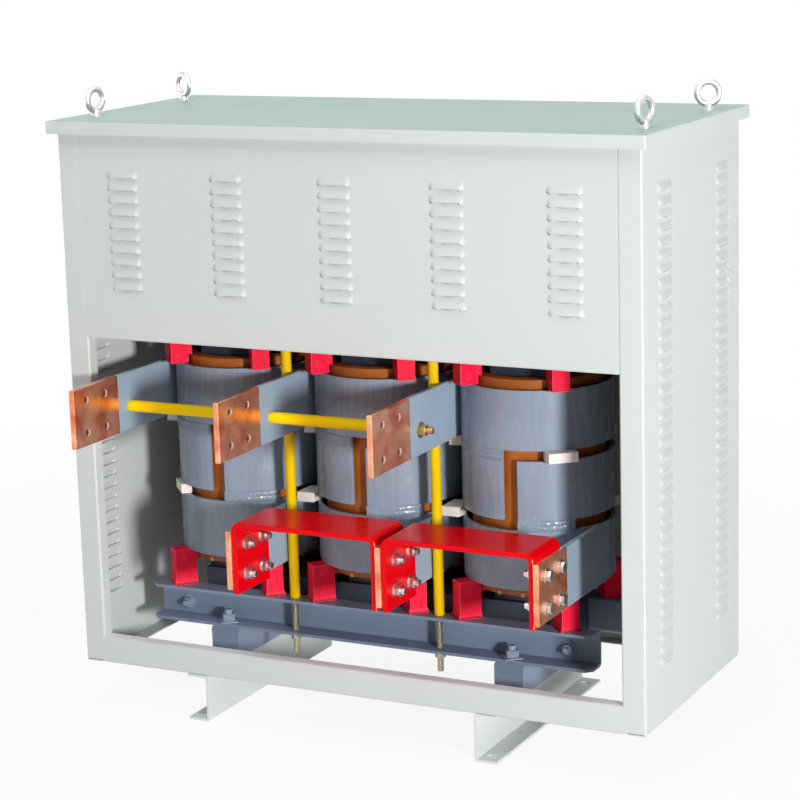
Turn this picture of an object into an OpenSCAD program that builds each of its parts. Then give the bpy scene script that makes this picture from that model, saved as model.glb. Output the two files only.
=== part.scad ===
// Three-phase dry-type power transformer in a ventilated sheet-metal cabinet.
// Sizes are in millimetres. X runs along the row of coils, Y from front to back, Z up.
// The origin lies on the floor, midway between the two feet.

/* [Feet] */
// Height of the two feet
foot_h = 94; // [60:1:140]
// Distance between the webs of the two feet
foot_span = 576; // [480:2:680]
// Width of a foot's flanges
foot_flange = 46; // [36:1:60]
// Thickness of a foot's folded plate
foot_t = 5; // [3:0.5:8]
// Diameter of the round ends of the floor bolt slots
floor_slot_d = 14; // [11:1:18]
// Length of a floor bolt slot over the distance between its two end centres
floor_slot_run = 8; // [2:1:14]
// Distance of a floor bolt slot from the foot's end
floor_slot_in = 28; // [20:1:60]

/* [Cabinet] */
// Mean room between the ends of the clamps and the outside of the cabinet's sides
side_room = 120; // [90:1:180]
// How far the cabinet's middle lies to the right of the feet's middle
cabinet_shift = 30; // [0:1:40]
// Room between the coils and the outside of the cabinet's front
front_room = 109; // [96:1:150]
// Room between the upper clamps and the underside of the roof
head_room = 342; // [260:1:420]
// Thickness of the folded sheet
sheet_t = 2.5; // [1.5:0.5:4]
// Width of the face of a corner post
post_w = 46; // [36:1:60]
// Depth of the lips that turn in around the openings
lip_d = 27; // [15:1:36]
// Height of the sill below the front opening
sill_h = 53; // [40:1:62]
// How far the front opening's top edge lies above the coils
opening_over = 67; // [50:1:90]
// Width of the flange that turns in at the bottom of each side
side_flange = 37; // [20:1:44]

/* [Roof] */
// How far the roof reaches past the cabinet's sides
roof_over_x = 14; // [8:1:30]
// How far the roof reaches past the cabinet's front and back
roof_over_y = 19; // [10:1:30]
// Height of the roof's folded edge
roof_edge_h = 24; // [16:1:40]

/* [Louvres] */
// Width of a louvre
louvre_w = 70; // [40:1:90]
// Height of a louvre's hood
louvre_h = 14; // [10:1:18]
// How far a louvre's hood stands out
louvre_out = 6; // [5:0.5:10]
// Height of the slot behind a louvre's hood
louvre_slot_h = 8; // [5:0.5:9]
// Distance between louvres in a column
louvre_pitch = 24; // [22:1:32]
// Distance between columns on the front and the back
front_column_pitch = 228; // [160:1:240]
// Distance of the top louvre on each panel below the underside of the roof
louvre_top_drop = 104; // [80:1:140]
// Distance of each side column from the middle of the side
side_column_y = 150; // [90:1:170]
// Least height of the side louvres above the body's bottom
side_louvre_up = 110; // [40:1:300]
// Thickness of a louvre's pressed hood
hood_t = 2; // [1:0.5:3]

/* [Lifting eyes] */
// Distance of the lifting eyes from the outside of the cabinet's sides
eye_in = 30; // [24:1:60]
// Distance of the lifting eyes from the middle of the cabinet, front to back
eye_y = 163; // [100:1:220]
// Diameter of an eye's shank
eye_shank_d = 12; // [8:1:16]
// Diameter of the circle along the middle of an eye's ring
eye_ring_d = 41; // [34:1:60]
// Thickness of an eye's ring
eye_wire_d = 12; // [8:1:14]
// Diameter of an eye's collar
eye_collar_d = 30; // [22:1:40]
// Height of an eye's collar
eye_collar_h = 8; // [5:1:12]
// Length of an eye's shank below the roof
eye_shank_l = 28; // [18:1:40]

/* [Core and clamps] */
// Width of a cross beam
beam_w = 60; // [40:1:80]
// Height of a cross beam
beam_h = 67; // [50:1:90]
// Height of a clamp channel
clamp_h = 72; // [56:1:96]
// Depth of a clamp channel over its flanges
clamp_d = 51; // [40:1:62]
// Thickness of a clamp channel
clamp_t = 6; // [4:0.5:9]
// Inner radius of a clamp channel's bends
clamp_bend_r = 3; // [1:0.5:6]
// How far the clamps reach past the outer coils' axes
clamp_over = 164; // [154:1:190]
// Size of the cut at the corners of a clamp's flanges
clamp_corner = 14; // [6:1:24]
// Height of a yoke
yoke_h = 105; // [90:1:118]
// Room between the corners of a core leg and the inner winding
leg_clear = 4; // [2:0.5:12]
// Angle of a core leg's diagonal to the row of coils
leg_angle = 53.13; // [45:0.01:60]

/* [Windings] */
// Outer radius of the outer windings
coil_r = 146; // [120:1:175]
// Gap between neighbouring coils
coil_gap = 24; // [18:1:68]
// Thickness of the outer winding's strip
strip_t = 8; // [5:0.5:10]
// Height of the outer winding's strip
strip_h = 115; // [90:1:130]
// Gap between the turns of the outer winding
turn_gap = 19; // [14:1:26]
// Width of the slit at the front of the middle turn
slit_w = 29; // [16:1:36]
// Turn of the slit to the right of the coil's front
slit_angle = 2; // [0:1:8]
// Angle by which a gap between turns runs on past the slit
relief_angle = 1; // [0.5:0.5:3]
// Angle that the joint between the lower two turns covers
lower_joint_angle = 44; // [30:1:56]
// Angle that the joint between the upper two turns covers
upper_joint_angle = 56; // [30:1:56]
// Gap between the two windings
duct = 10; // [6:1:14]
// Thickness of the inner winding
inner_t = 24; // [16:1:26]
// How far the inner windings reach past the ends of the outer ones
inner_over = 16; // [10:1:22]

/* [Terminals] */
// Thickness of the terminal bars
bar_t = 12; // [10:0.5:14]
// How far the line terminals reach past the cabinet's front
line_reach = 168; // [120:1:220]
// How far the star terminals reach past the cabinet's front
star_reach = 85; // [60:1:110]
// Diameter of the holes in the line terminals
pad_hole_d = 15; // [11:1:18]
// Distance between the holes in the line terminals
pad_hole_pitch = 64; // [50:1:76]
// Distance from a line terminal's end to the middle of its holes
pad_hole_in = 74; // [60:1:90]
// Thickness of the star bridges
bridge_t = 10; // [6:0.5:12]
// Width of the star bridges, front to back
bridge_w = 122; // [90:1:130]
// How far the star bridges stand above the star terminals
bridge_rise = 18; // [14:1:30]
// How far the star bridges' tabs hang below the star terminals
bridge_drop = 9; // [0:1:14]
// Inner radius of the star bridges' bends
bridge_bend_r = 6; // [3:0.5:8]
// How far the star bridges stand back from the star terminals' ends
bridge_back = 4; // [0:1:12]
// Diameter of the spacer rods between the line terminals
spacer_rod_d = 22; // [16:1:26]
// Distance of the spacer rods inside the cabinet's front
spacer_rod_in = 23; // [10:1:40]
// Height of the spacer rods above the line terminals' lower edge
spacer_rod_up = 48; // [20:1:80]

/* [Supports] */
// Height of the blocks between the clamps and the outer windings
block_h = 73; // [64:1:90]
// Width of a block
block_w = 34; // [26:1:40]
// How much wider a block's foot is at its sides and its front
block_flare = 3; // [1:0.5:5]
// Height of a block's foot
block_foot_h = 11; // [8:1:16]
// Angle of the lower blocks from the front or the back of their coil
lower_block_angle = 42; // [38:1:44]
// How far the lower blocks stand out past the coil
lower_block_out = 30; // [20:1:32]
// Angle of the upper blocks from the front or the back of their coil
upper_block_angle = 39; // [34:1:44]
// How far the upper blocks stand out past the coil
upper_block_out = 22; // [16:1:30]
// Room between a block and the inner winding
block_clear = 3; // [2:0.5:6]
// How far a block's ledge reaches in below the inner winding
ledge_in = 20; // [10:1:24]
// Diameter of the tie rods
tie_d = 12; // [8:1:14]
// Diameter of the sleeves on the tie rods
sleeve_d = 20; // [16:1:20]
// How far the tie rods reach past the clamps
tie_over = 41; // [24:1:60]
// Width of the boards between the turns
board_w = 57; // [40:1:62]
// How far the boards between the turns stand out past the winding
board_out = 21; // [14:1:22]
// Room between the boards and the inner winding
board_clear = 3; // [1:0.5:6]

/* [Hidden] */
$fn = 96;
// Small overlap that joins the pieces of one body
join = 0.5;

// Heights, chained up from the floor
body_z = foot_h;
clamp_z = body_z + beam_h;
clamp_top = clamp_z + clamp_h;
yoke_top = clamp_z + yoke_h;
coil_z = clamp_top + block_h;
turn_z = strip_h + turn_gap;
coil_h = 3 * strip_h + 2 * turn_gap;
mid_z = coil_z + coil_h / 2;
coil_top = coil_z + coil_h;
inner_z = coil_z - inner_over;
upper_clamp_top = 2 * mid_z - clamp_z;
body_top = upper_clamp_top + head_room;
opening_z = coil_top + opening_over;
roof_top = body_top + sheet_t;

// Plan sizes; the clamps' open edges are flush with the coils
coil_pitch = 2 * coil_r + coil_gap;
core_d = 2 * (coil_r - clamp_d);
clamp_l = 2 * coil_pitch + 2 * clamp_over;
body_w = clamp_l + 2 * side_room;
body_d = 2 * coil_r + 2 * front_room;
left_x = cabinet_shift - body_w / 2;
right_x = cabinet_shift + body_w / 2;
front_y = -body_d / 2;
panel_w = body_w - 2 * post_w;
clamp_tip_y = core_d / 2 + clamp_d;
tie_y = core_d / 2 + clamp_d / 2 + clamp_t / 2;
foot_x = foot_span / 2;
beam_x = foot_x + foot_flange / 2;
beam_l = 2 * clamp_tip_y;
inner_r = coil_r - strip_t - duct;
leg_diagonal = 2 * (inner_r - inner_t - leg_clear);
leg_w = leg_diagonal * cos(leg_angle);
leg_d = leg_diagonal * sin(leg_angle);
// Length of the straight lead where a strip leaves its turn
lead_l = sqrt(coil_r * coil_r - (coil_r - bar_t) * (coil_r - bar_t)) + 2;
// How far a lead's faces lie inside those of the strip
lead_inset = 0.25;
// How far in front of the coil's axis a lead starts inside its turn
lead_root = 12;
// How far a block's ledge reaches into the block and down beside the yoke
ledge_root = 8;
// Room between a block and the yoke
yoke_clear = 1;
// How far the first coil's lower left board stands out past the winding
short_board_out = 7;
// How far the boards along the row stand out, and how far in front of the coil's axis they start
row_board_out = 17;
row_board_y = 35;
line_end_y = front_y - line_reach;
star_end_y = front_y - star_reach;
line_z = coil_z + 2 * turn_z;
slot_y = body_d / 2 - floor_slot_in;
slot_x = foot_x + foot_t + (foot_flange - foot_t) / 2;

// Louvre counts that fill the panels
front_columns = 5;
front_rows = 10;
louvre_top = body_top - louvre_top_drop;
side_rows = floor((louvre_top - body_z - side_louvre_up) / louvre_pitch) + 1;

// Box from its lowest corner to its highest corner
module span_box(a, b) {
  translate(a) cube([b[0] - a[0], b[1] - a[1], b[2] - a[2]]);
}

// Outline with its two upper corners rounded
module arch(x0, x1, z0, z1, r) {
  union() {
    translate([x0, z0]) square([x1 - x0, z1 - r - z0]);
    translate([x0 + r, z1 - r - join]) square([x1 - x0 - 2 * r, r + join]);
    for (x = [x0 + r, x1 - r]) translate([x, z1 - r]) circle(r = r, $fn = 48);
  }
}

// Outline of a plate bent to an upturned U
module bent_plate(x0, x1, z0, z1, t, bend_r) {
  difference() {
    arch(x0, x1, z0, z1, bend_r + t);
    arch(x0 + t, x1 - t, z0 - 1, z1 - t, bend_r);
  }
}

// Flips a piece about the middle height of the coils
module flip_up() {
  translate([0, 0, 2 * mid_z]) mirror([0, 0, 1]) children();
}

// Foot on the right: a channel that opens to the right, with a slot near each end
module foot_right() {
  difference() {
    span_box([foot_x, front_y, 0], [foot_x + foot_flange, -front_y, foot_h]);
    span_box([foot_x + foot_t, front_y - 1, foot_t],
             [foot_x + foot_flange + 1, -front_y + 1, foot_h - foot_t]);
    for (y = [-slot_y, slot_y]) {
      for (s = [-1, 1])
        translate([slot_x + s * floor_slot_run / 2, y, -1])
          cylinder(d = floor_slot_d, h = foot_t + 2);
      span_box([slot_x - floor_slot_run / 2, y - floor_slot_d / 2, -1],
               [slot_x + floor_slot_run / 2, y + floor_slot_d / 2, foot_t + 1]);
    }
  }
}

module left_foot() {
  color([0.74, 0.77, 0.75]) mirror([1, 0, 0]) foot_right();
}

module right_foot() {
  color([0.74, 0.77, 0.75]) foot_right();
}

// Sill below the front opening, folded in at its top and bottom
module front_sill() {
  x0 = cabinet_shift - panel_w / 2;
  x1 = cabinet_shift + panel_w / 2;
  color([0.84, 0.86, 0.85]) union() {
    span_box([x0, front_y, body_z], [x1, front_y + sheet_t, body_z + sill_h]);
    span_box([x0, front_y, body_z], [x1, front_y + lip_d, body_z + sheet_t]);
    span_box([x0, front_y, body_z + sill_h - sheet_t], [x1, front_y + lip_d, body_z + sill_h]);
  }
}

// Flat outlines of the slots of a block of louvres, drawn with the top row at zero
module louvre_slots(columns, rows, column_pitch) {
  for (c = [0 : columns - 1])
    for (r = [0 : rows - 1])
      translate([(c - (columns - 1) / 2) * column_pitch - louvre_w / 2 + hood_t,
                 -r * louvre_pitch + 1])
        square([louvre_w - 2 * hood_t, louvre_slot_h]);
}

// Side view of the hoods of one column of louvres
module hood_profiles(rows) {
  for (r = [0 : rows - 1])
    translate([0, -r * louvre_pitch])
      polygon([[-join, louvre_h], [0, louvre_h], [louvre_out * 0.75, louvre_h * 0.5],
               [louvre_out, louvre_h * 0.2], [louvre_out, 0], [louvre_out - hood_t, 0],
               [louvre_out * 0.75 - hood_t, louvre_h * 0.4], [0, louvre_slot_h + 1],
               [-join, louvre_slot_h + 1]]);
}

// Hoods of a block of louvres on a sheet in the XZ plane, standing out towards -Y
module louvre_hoods(columns, rows, column_pitch) {
  for (c = [0 : columns - 1])
    translate([(c - (columns - 1) / 2) * column_pitch + louvre_w / 2, 0, 0])
      rotate([0, 0, -90]) rotate([90, 0, 0])
        linear_extrude(height = louvre_w) hood_profiles(rows);
}

// Flat sheet in the XZ plane with its louvres; its front face lies at y = 0
module louvred_sheet(w, z0, z1, columns, rows, column_pitch) {
  union() {
    translate([0, sheet_t, 0]) rotate([90, 0, 0]) linear_extrude(height = sheet_t)
      difference() {
        translate([-w / 2, z0]) square([w, z1 - z0]);
        translate([0, louvre_top]) louvre_slots(columns, rows, column_pitch);
      }
    translate([0, 0, louvre_top]) louvre_hoods(columns, rows, column_pitch);
  }
}

// Upper front panel, folded in along its bottom edge
module front_panel() {
  x0 = cabinet_shift - panel_w / 2;
  x1 = cabinet_shift + panel_w / 2;
  color([0.85, 0.87, 0.86]) union() {
    translate([cabinet_shift, front_y, 0])
      louvred_sheet(panel_w, opening_z, body_top, front_columns, front_rows, front_column_pitch);
    span_box([x0, front_y, opening_z], [x1, front_y + lip_d, opening_z + sheet_t]);
  }
}

// Back panel over the whole height, folded in along its bottom edge
module back_panel() {
  x0 = cabinet_shift - panel_w / 2;
  x1 = cabinet_shift + panel_w / 2;
  color([0.82, 0.84, 0.83]) union() {
    translate([cabinet_shift, -front_y, 0]) rotate([0, 0, 180])
      louvred_sheet(panel_w, body_z, body_top, front_columns, front_rows, front_column_pitch);
    span_box([x0, -front_y - lip_d, body_z], [x1, -front_y, body_z + sheet_t]);
  }
}

// Left side in its own frame: outside face at x = 0, the cabinet's inside towards +X
module side_shell() {
  union() {
    rotate([0, 0, -90])
      louvred_sheet(body_d, body_z, body_top, 2, side_rows, 2 * side_column_y);
    for (m = [0, 1]) mirror([0, m, 0]) {
      span_box([0, front_y, body_z], [post_w, front_y + sheet_t, body_top]);
      span_box([post_w - sheet_t, front_y, body_z], [post_w, front_y + lip_d, body_top]);
    }
    span_box([0, front_y, body_z], [side_flange, -front_y, body_z + sheet_t]);
  }
}

module left_side_panel() {
  color([0.80, 0.82, 0.81]) translate([left_x, 0, 0]) side_shell();
}

module right_side_panel() {
  color([0.80, 0.82, 0.81]) translate([right_x, 0, 0]) mirror([1, 0, 0]) side_shell();
}

// Roof: a shallow tray turned upside down over the cabinet
module roof() {
  x0 = left_x - roof_over_x;
  x1 = right_x + roof_over_x;
  y0 = front_y - roof_over_y;
  color([0.72, 0.79, 0.75]) difference() {
    span_box([x0, y0, roof_top - roof_edge_h], [x1, -y0, roof_top]);
    span_box([x0 + sheet_t, y0 + sheet_t, roof_top - roof_edge_h - 1],
             [x1 - sheet_t, -y0 - sheet_t, body_top]);
    for (side = [-1, 1]) for (end = [-1, 1])
      eye_place(side, end) translate([0, 0, body_top - 1])
        cylinder(d = eye_shank_d, h = sheet_t + 2);
  }
}

// Place of a lifting eye: side is -1 at the left and 1 at the right, end is -1 at the front
module eye_place(side, end) {
  translate([cabinet_shift + side * (body_w / 2 - eye_in), end * eye_y, 0]) children();
}

// One lifting eye: shank, collar and ring
module lifting_eye(side, end) {
  ring_z = roof_top + eye_collar_h + eye_ring_d / 2 + eye_wire_d / 2 - 3;
  color([0.78, 0.78, 0.76]) eye_place(side, end) union() {
    translate([0, 0, body_top - eye_shank_l])
      cylinder(d = eye_shank_d, h = eye_shank_l + sheet_t + eye_collar_h / 2);
    translate([0, 0, roof_top]) cylinder(d = eye_collar_d, h = eye_collar_h);
    translate([0, 0, ring_z]) rotate([90, 0, 0]) rotate_extrude()
      translate([eye_ring_d / 2, 0]) circle(d = eye_wire_d, $fn = 32);
  }
}

module lifting_eye_front_left() { lifting_eye(-1, -1); }
module lifting_eye_front_right() { lifting_eye(1, -1); }
module lifting_eye_back_left() { lifting_eye(-1, 1); }
module lifting_eye_back_right() { lifting_eye(1, 1); }

// Cross beams that carry the core on the feet
module cross_beam(x) {
  span_box([x - beam_w / 2, -beam_l / 2, body_z], [x + beam_w / 2, beam_l / 2, clamp_z]);
}

module left_cross_beam() {
  color([0.33, 0.38, 0.45]) cross_beam(-beam_x);
}

module right_cross_beam() {
  color([0.33, 0.38, 0.45]) cross_beam(beam_x);
}

// Clamp channel below the coils at the front, with holes for the tie rods
module clamp_channel() {
  difference() {
    translate([clamp_l / 2, 0, 0]) rotate([0, -90, 0]) linear_extrude(height = clamp_l)
      bent_plate(clamp_z, clamp_top, -clamp_tip_y, -core_d / 2, clamp_t, clamp_bend_r);
    for (x = [-coil_pitch / 2, coil_pitch / 2])
      translate([x, -tie_y, clamp_z - 1]) cylinder(d = tie_d, h = clamp_h + 2);
    for (m = [0, 1]) mirror([m, 0, 0])
      translate([clamp_l / 2 + 1, -clamp_tip_y - 1, clamp_z - 1]) linear_extrude(height = clamp_h + 2)
        polygon([[0, 0], [0, clamp_corner + 2], [-clamp_corner - 2, 0]]);
  }
}

module lower_front_clamp() {
  color([0.33, 0.38, 0.45]) clamp_channel();
}

module lower_back_clamp() {
  color([0.33, 0.38, 0.45]) mirror([0, 1, 0]) clamp_channel();
}

module upper_front_clamp() {
  color([0.33, 0.38, 0.45]) flip_up() clamp_channel();
}

module upper_back_clamp() {
  color([0.33, 0.38, 0.45]) flip_up() mirror([0, 1, 0]) clamp_channel();
}

// Laminated core: two yokes and three legs
module yoke() {
  x = coil_pitch + leg_w / 2;
  span_box([-x, -core_d / 2, clamp_z], [x, core_d / 2, yoke_top]);
}

module lower_yoke() {
  color([0.25, 0.28, 0.32]) yoke();
}

module upper_yoke() {
  color([0.25, 0.28, 0.32]) flip_up() yoke();
}

module core_leg(c) {
  color([0.25, 0.28, 0.32])
    span_box([c * coil_pitch - leg_w / 2, -leg_d / 2, yoke_top],
             [c * coil_pitch + leg_w / 2, leg_d / 2, 2 * mid_z - yoke_top]);
}

module core_leg_a() { core_leg(-1); }
module core_leg_b() { core_leg(0); }
module core_leg_c() { core_leg(1); }

// Inner winding: a plain tube of impregnated wire
module inner_winding(c) {
  color([0.62, 0.34, 0.14]) translate([c * coil_pitch, 0, inner_z]) difference() {
    cylinder(r = inner_r, h = 2 * (mid_z - inner_z));
    translate([0, 0, -1]) cylinder(r = inner_r - inner_t, h = 2 * (mid_z - inner_z) + 2);
  }
}

module inner_winding_a() { inner_winding(-1); }
module inner_winding_b() { inner_winding(0); }
module inner_winding_c() { inner_winding(1); }

// Gap between two turns, open from one angle to another, counted from the coil's front to the right
module gap_cut(a0, a1) {
  rotate([0, 0, a0 - 90]) rotate_extrude(angle = a1 - a0)
    translate([coil_r - strip_t - 1, 0]) square([strip_t + 2, turn_gap]);
}

// Straight lead at the right of a coil, where the strip leaves its turn
module lead() {
  span_box([coil_r - strip_t + lead_inset, -lead_l, lead_inset],
           [coil_r - lead_inset, -lead_root, strip_h - lead_inset]);
}

// Outer winding: three stacked turns joined at the front, a lead at the top and at the bottom
module outer_winding(c) {
  slit_half = asin(slit_w / 2 / coil_r);
  right_edge = slit_angle + slit_half;
  left_edge = slit_angle - slit_half;
  color([0.45, 0.50, 0.55]) translate([c * coil_pitch, 0, coil_z]) difference() {
    union() {
      cylinder(r = coil_r, h = coil_h);
      lead();
      translate([0, 0, 2 * turn_z]) mirror([1, 0, 0]) lead();
    }
    translate([0, 0, -1]) cylinder(r = coil_r - strip_t, h = coil_h + 2);
    translate([0, 0, strip_h])
      gap_cut(right_edge + lower_joint_angle, right_edge + relief_angle + 360);
    translate([0, 0, strip_h + turn_z])
      gap_cut(left_edge - relief_angle, left_edge - upper_joint_angle + 360);
    translate([0, 0, strip_h + turn_gap / 2]) rotate([0, 0, slit_angle])
      span_box([-slit_w / 2, -coil_r - 1, 0], [slit_w / 2, 0, turn_z]);
  }
}

module outer_winding_a() { outer_winding(-1); }
module outer_winding_b() { outer_winding(0); }
module outer_winding_c() { outer_winding(1); }

// Line terminal: the top turn's strip runs straight out of the front and ends in a drilled pad
module line_terminal(c) {
  x = c * coil_pitch - coil_r;
  color([0.72, 0.43, 0.32]) difference() {
    span_box([x, line_end_y, line_z], [x + bar_t, -lead_l, line_z + strip_h]);
    for (y = [-1, 1]) for (z = [-1, 1])
      translate([x - 1, line_end_y + pad_hole_in + y * pad_hole_pitch / 2,
                 line_z + strip_h / 2 + z * pad_hole_pitch / 2])
        rotate([0, 90, 0]) cylinder(d = pad_hole_d, h = bar_t + 2);
  }
}

module line_terminal_a() { line_terminal(-1); }
module line_terminal_b() { line_terminal(0); }
module line_terminal_c() { line_terminal(1); }

// Star terminal: the bottom turn's strip runs straight out of the front
module star_terminal(c) {
  x = c * coil_pitch + coil_r;
  color([0.72, 0.43, 0.32])
    span_box([x - bar_t, star_end_y, coil_z], [x, -lead_l, coil_z + strip_h]);
}

module star_terminal_a() { star_terminal(-1); }
module star_terminal_b() { star_terminal(0); }
module star_terminal_c() { star_terminal(1); }

// Star bridge: an upturned U between the star terminals of two neighbouring coils
module star_bridge(c) {
  x0 = c * coil_pitch + coil_r;
  x1 = (c + 1) * coil_pitch + coil_r - bar_t;
  z0 = coil_z - bridge_drop;
  z1 = coil_z + strip_h + bridge_rise;
  y0 = star_end_y + bridge_back;
  color([0.75, 0.05, 0.08]) translate([0, y0 + bridge_w, 0]) rotate([90, 0, 0])
    linear_extrude(height = bridge_w) bent_plate(x0, x1, z0, z1, bridge_t, bridge_bend_r);
}

module star_bridge_ab() { star_bridge(-1); }
module star_bridge_bc() { star_bridge(0); }

// Insulating rod that holds two line terminals apart
module terminal_spacer_rod(c) {
  color([0.90, 0.76, 0.05])
    translate([c * coil_pitch - coil_r + bar_t, front_y + spacer_rod_in, line_z + spacer_rod_up])
      rotate([0, 90, 0]) cylinder(d = spacer_rod_d, h = coil_pitch - bar_t);
}

module terminal_spacer_rod_ab() { terminal_spacer_rod(-1); }
module terminal_spacer_rod_bc() { terminal_spacer_rod(0); }

// Places of the four tie rods between the coils
module tie_places() {
  for (x = [-coil_pitch / 2, coil_pitch / 2])
    for (y = [-tie_y, tie_y])
      translate([x, y, 0]) children();
}

module tie_rods() {
  color([0.70, 0.68, 0.60]) tie_places() translate([0, 0, clamp_z - tie_over])
    cylinder(d = tie_d, h = 2 * (mid_z - clamp_z + tie_over));
}

module tie_rod_sleeves() {
  color([0.88, 0.74, 0.05]) tie_places() translate([0, 0, clamp_top]) difference() {
    cylinder(d = sleeve_d, h = 2 * (mid_z - clamp_top));
    translate([0, 0, -1]) cylinder(d = tie_d, h = 2 * (mid_z - clamp_top) + 2);
  }
}

// Moulded block on the lower front clamp that points out from the coil's axis: a column on a flared
// foot, with a ledge below the inner winding
module support_block(a, out) {
  r0 = inner_r + block_clear;
  r1 = coil_r + out;
  foot_top = clamp_top + block_foot_h;
  half = block_w / 2;
  wide = half + block_flare;
  difference() {
    rotate([0, 0, a]) union() {
      intersection() {
        translate([0, -r0, 0]) rotate([90, 0, 0]) linear_extrude(height = r1 + block_flare - r0)
          polygon([[-wide, clamp_top], [wide, clamp_top], [half, foot_top], [half, coil_z],
                   [-half, coil_z], [-half, foot_top]]);
        translate([-wide, 0, 0]) rotate([0, 0, 90]) rotate([90, 0, 0]) linear_extrude(height = 2 * wide)
          polygon([[-r1 - block_flare, clamp_top], [-r0, clamp_top], [-r0, coil_z], [-r1, coil_z],
                   [-r1, foot_top]]);
      }
      span_box([-half, -r0 - ledge_root, yoke_top - ledge_root], [half, -r0 + ledge_in, inner_z]);
    }
    span_box([0, -core_d / 2 - yoke_clear, clamp_top - 1], [coil_r, 0, yoke_top]);
  }
}

// The four blocks of every coil
module block_set(a, out) {
  for (c = [-1, 0, 1]) for (s = [0, 1]) for (m = [0, 1])
    translate([c * coil_pitch, 0, 0]) mirror([s, 0, 0]) mirror([0, m, 0]) support_block(a, out);
}

module lower_support_blocks() {
  color([0.74, 0.12, 0.20]) block_set(lower_block_angle, lower_block_out);
}

module upper_support_blocks() {
  color([0.74, 0.12, 0.20]) flip_up() block_set(upper_block_angle, upper_block_out);
}

// Boards wedged between the turns of every outer winding
module turn_spacers() {
  low_z = coil_z + strip_h;
  low_angles = [140, -140];
  high_angles = [40, -76, 150, -150];
  color([0.90, 0.88, 0.82]) {
    turn_board(-1, -48, low_z, short_board_out);
    for (c = [0, 1]) row_board(c, low_z);
    for (c = [-1, 0, 1]) {
      for (a = low_angles) turn_board(c, a, low_z, board_out);
      for (a = high_angles) turn_board(c, a, low_z + turn_z, board_out);
    }
  }
}

// Board that points out from the coil's axis at an angle counted from the front to the right
module turn_board(c, a, z, out) {
  translate([c * coil_pitch, 0, z]) rotate([0, 0, a])
    span_box([-board_w / 2, -coil_r - out, 0], [board_w / 2, -inner_r - board_clear, turn_gap]);
}

// Board at the left of a coil that lies along the row
module row_board(c, z) {
  inner_x = sqrt(pow(inner_r + board_clear, 2) - pow(row_board_y, 2));
  translate([c * coil_pitch, 0, z])
    span_box([-coil_r - row_board_out, -row_board_y - board_w, 0], [-inner_x, -row_board_y, turn_gap]);
}

left_foot();
right_foot();
front_sill();
left_side_panel();
right_side_panel();
front_panel();
back_panel();
roof();
lifting_eye_front_left();
lifting_eye_front_right();
lifting_eye_back_left();
lifting_eye_back_right();
left_cross_beam();
right_cross_beam();
lower_front_clamp();
lower_back_clamp();
upper_front_clamp();
upper_back_clamp();
lower_yoke();
upper_yoke();
core_leg_a();
core_leg_b();
core_leg_c();
inner_winding_a();
inner_winding_b();
inner_winding_c();
outer_winding_a();
outer_winding_b();
outer_winding_c();
line_terminal_a();
line_terminal_b();
line_terminal_c();
star_terminal_a();
star_terminal_b();
star_terminal_c();
star_bridge_ab();
star_bridge_bc();
terminal_spacer_rod_ab();
terminal_spacer_rod_bc();
tie_rods();
tie_rod_sleeves();
lower_support_blocks();
upper_support_blocks();
turn_spacers();
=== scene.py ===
# %% [markdown]
# # A dry-type power transformer in a louvred cabinet
# Three coils of wide copper strip stand in a row on a clamped steel core, inside a folded sheet-metal
# cabinet whose lower front is open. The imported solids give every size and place. This lesson dresses
# them with the folds, eased edges, fasteners and finishes of the real machine.

import math

import bmesh
import bpy
from mathutils import Matrix, Vector


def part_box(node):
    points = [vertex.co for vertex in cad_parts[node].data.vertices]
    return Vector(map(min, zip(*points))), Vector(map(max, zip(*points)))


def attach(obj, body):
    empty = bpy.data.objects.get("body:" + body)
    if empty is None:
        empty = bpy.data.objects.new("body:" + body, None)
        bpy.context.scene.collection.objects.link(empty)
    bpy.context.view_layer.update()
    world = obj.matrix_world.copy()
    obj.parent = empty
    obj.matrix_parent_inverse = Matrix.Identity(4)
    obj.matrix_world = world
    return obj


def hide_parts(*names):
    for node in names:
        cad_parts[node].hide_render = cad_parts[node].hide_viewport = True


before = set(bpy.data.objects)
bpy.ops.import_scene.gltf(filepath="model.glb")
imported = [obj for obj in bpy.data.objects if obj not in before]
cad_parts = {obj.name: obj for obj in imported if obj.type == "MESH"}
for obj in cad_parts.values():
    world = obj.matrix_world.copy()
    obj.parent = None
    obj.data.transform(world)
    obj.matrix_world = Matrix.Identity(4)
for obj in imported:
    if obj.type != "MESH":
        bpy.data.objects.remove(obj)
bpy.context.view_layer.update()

# %% [markdown]
# The picture is taken from the right and a little above, with a long lens. The angles, the distance
# and the lens come from fitting the cabinet's straight edges, so the camera is built from those few
# numbers and not placed by eye. A small roll stays in, because the original was not quite level.

# %% Camera
MM = 0.001
VIEW_AZIMUTH = math.radians(27.04)
VIEW_ELEVATION = math.radians(12.24)
VIEW_ROLL = math.radians(-1.67)
VIEW_DISTANCE = 4.757
VIEW_CENTRE = Vector((0.0236, 0.0, 0.6189))
LENS = 109.67

back = Vector((math.sin(VIEW_AZIMUTH) * math.cos(VIEW_ELEVATION),
               -math.cos(VIEW_AZIMUTH) * math.cos(VIEW_ELEVATION),
               math.sin(VIEW_ELEVATION)))
level_right = (-back).cross(Vector((0, 0, 1))).normalized()
level_up = level_right.cross(-back)
right = math.cos(VIEW_ROLL) * level_right + math.sin(VIEW_ROLL) * level_up
up = math.cos(VIEW_ROLL) * level_up - math.sin(VIEW_ROLL) * level_right

bpy.ops.object.camera_add(location=VIEW_CENTRE + VIEW_DISTANCE * back,
                          rotation=Matrix((right, up, back)).transposed().to_euler())
camera = bpy.context.object
camera.data.lens = LENS
bpy.context.scene.camera = camera
print("camera at", tuple(round(v, 3) for v in camera.location))

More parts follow.
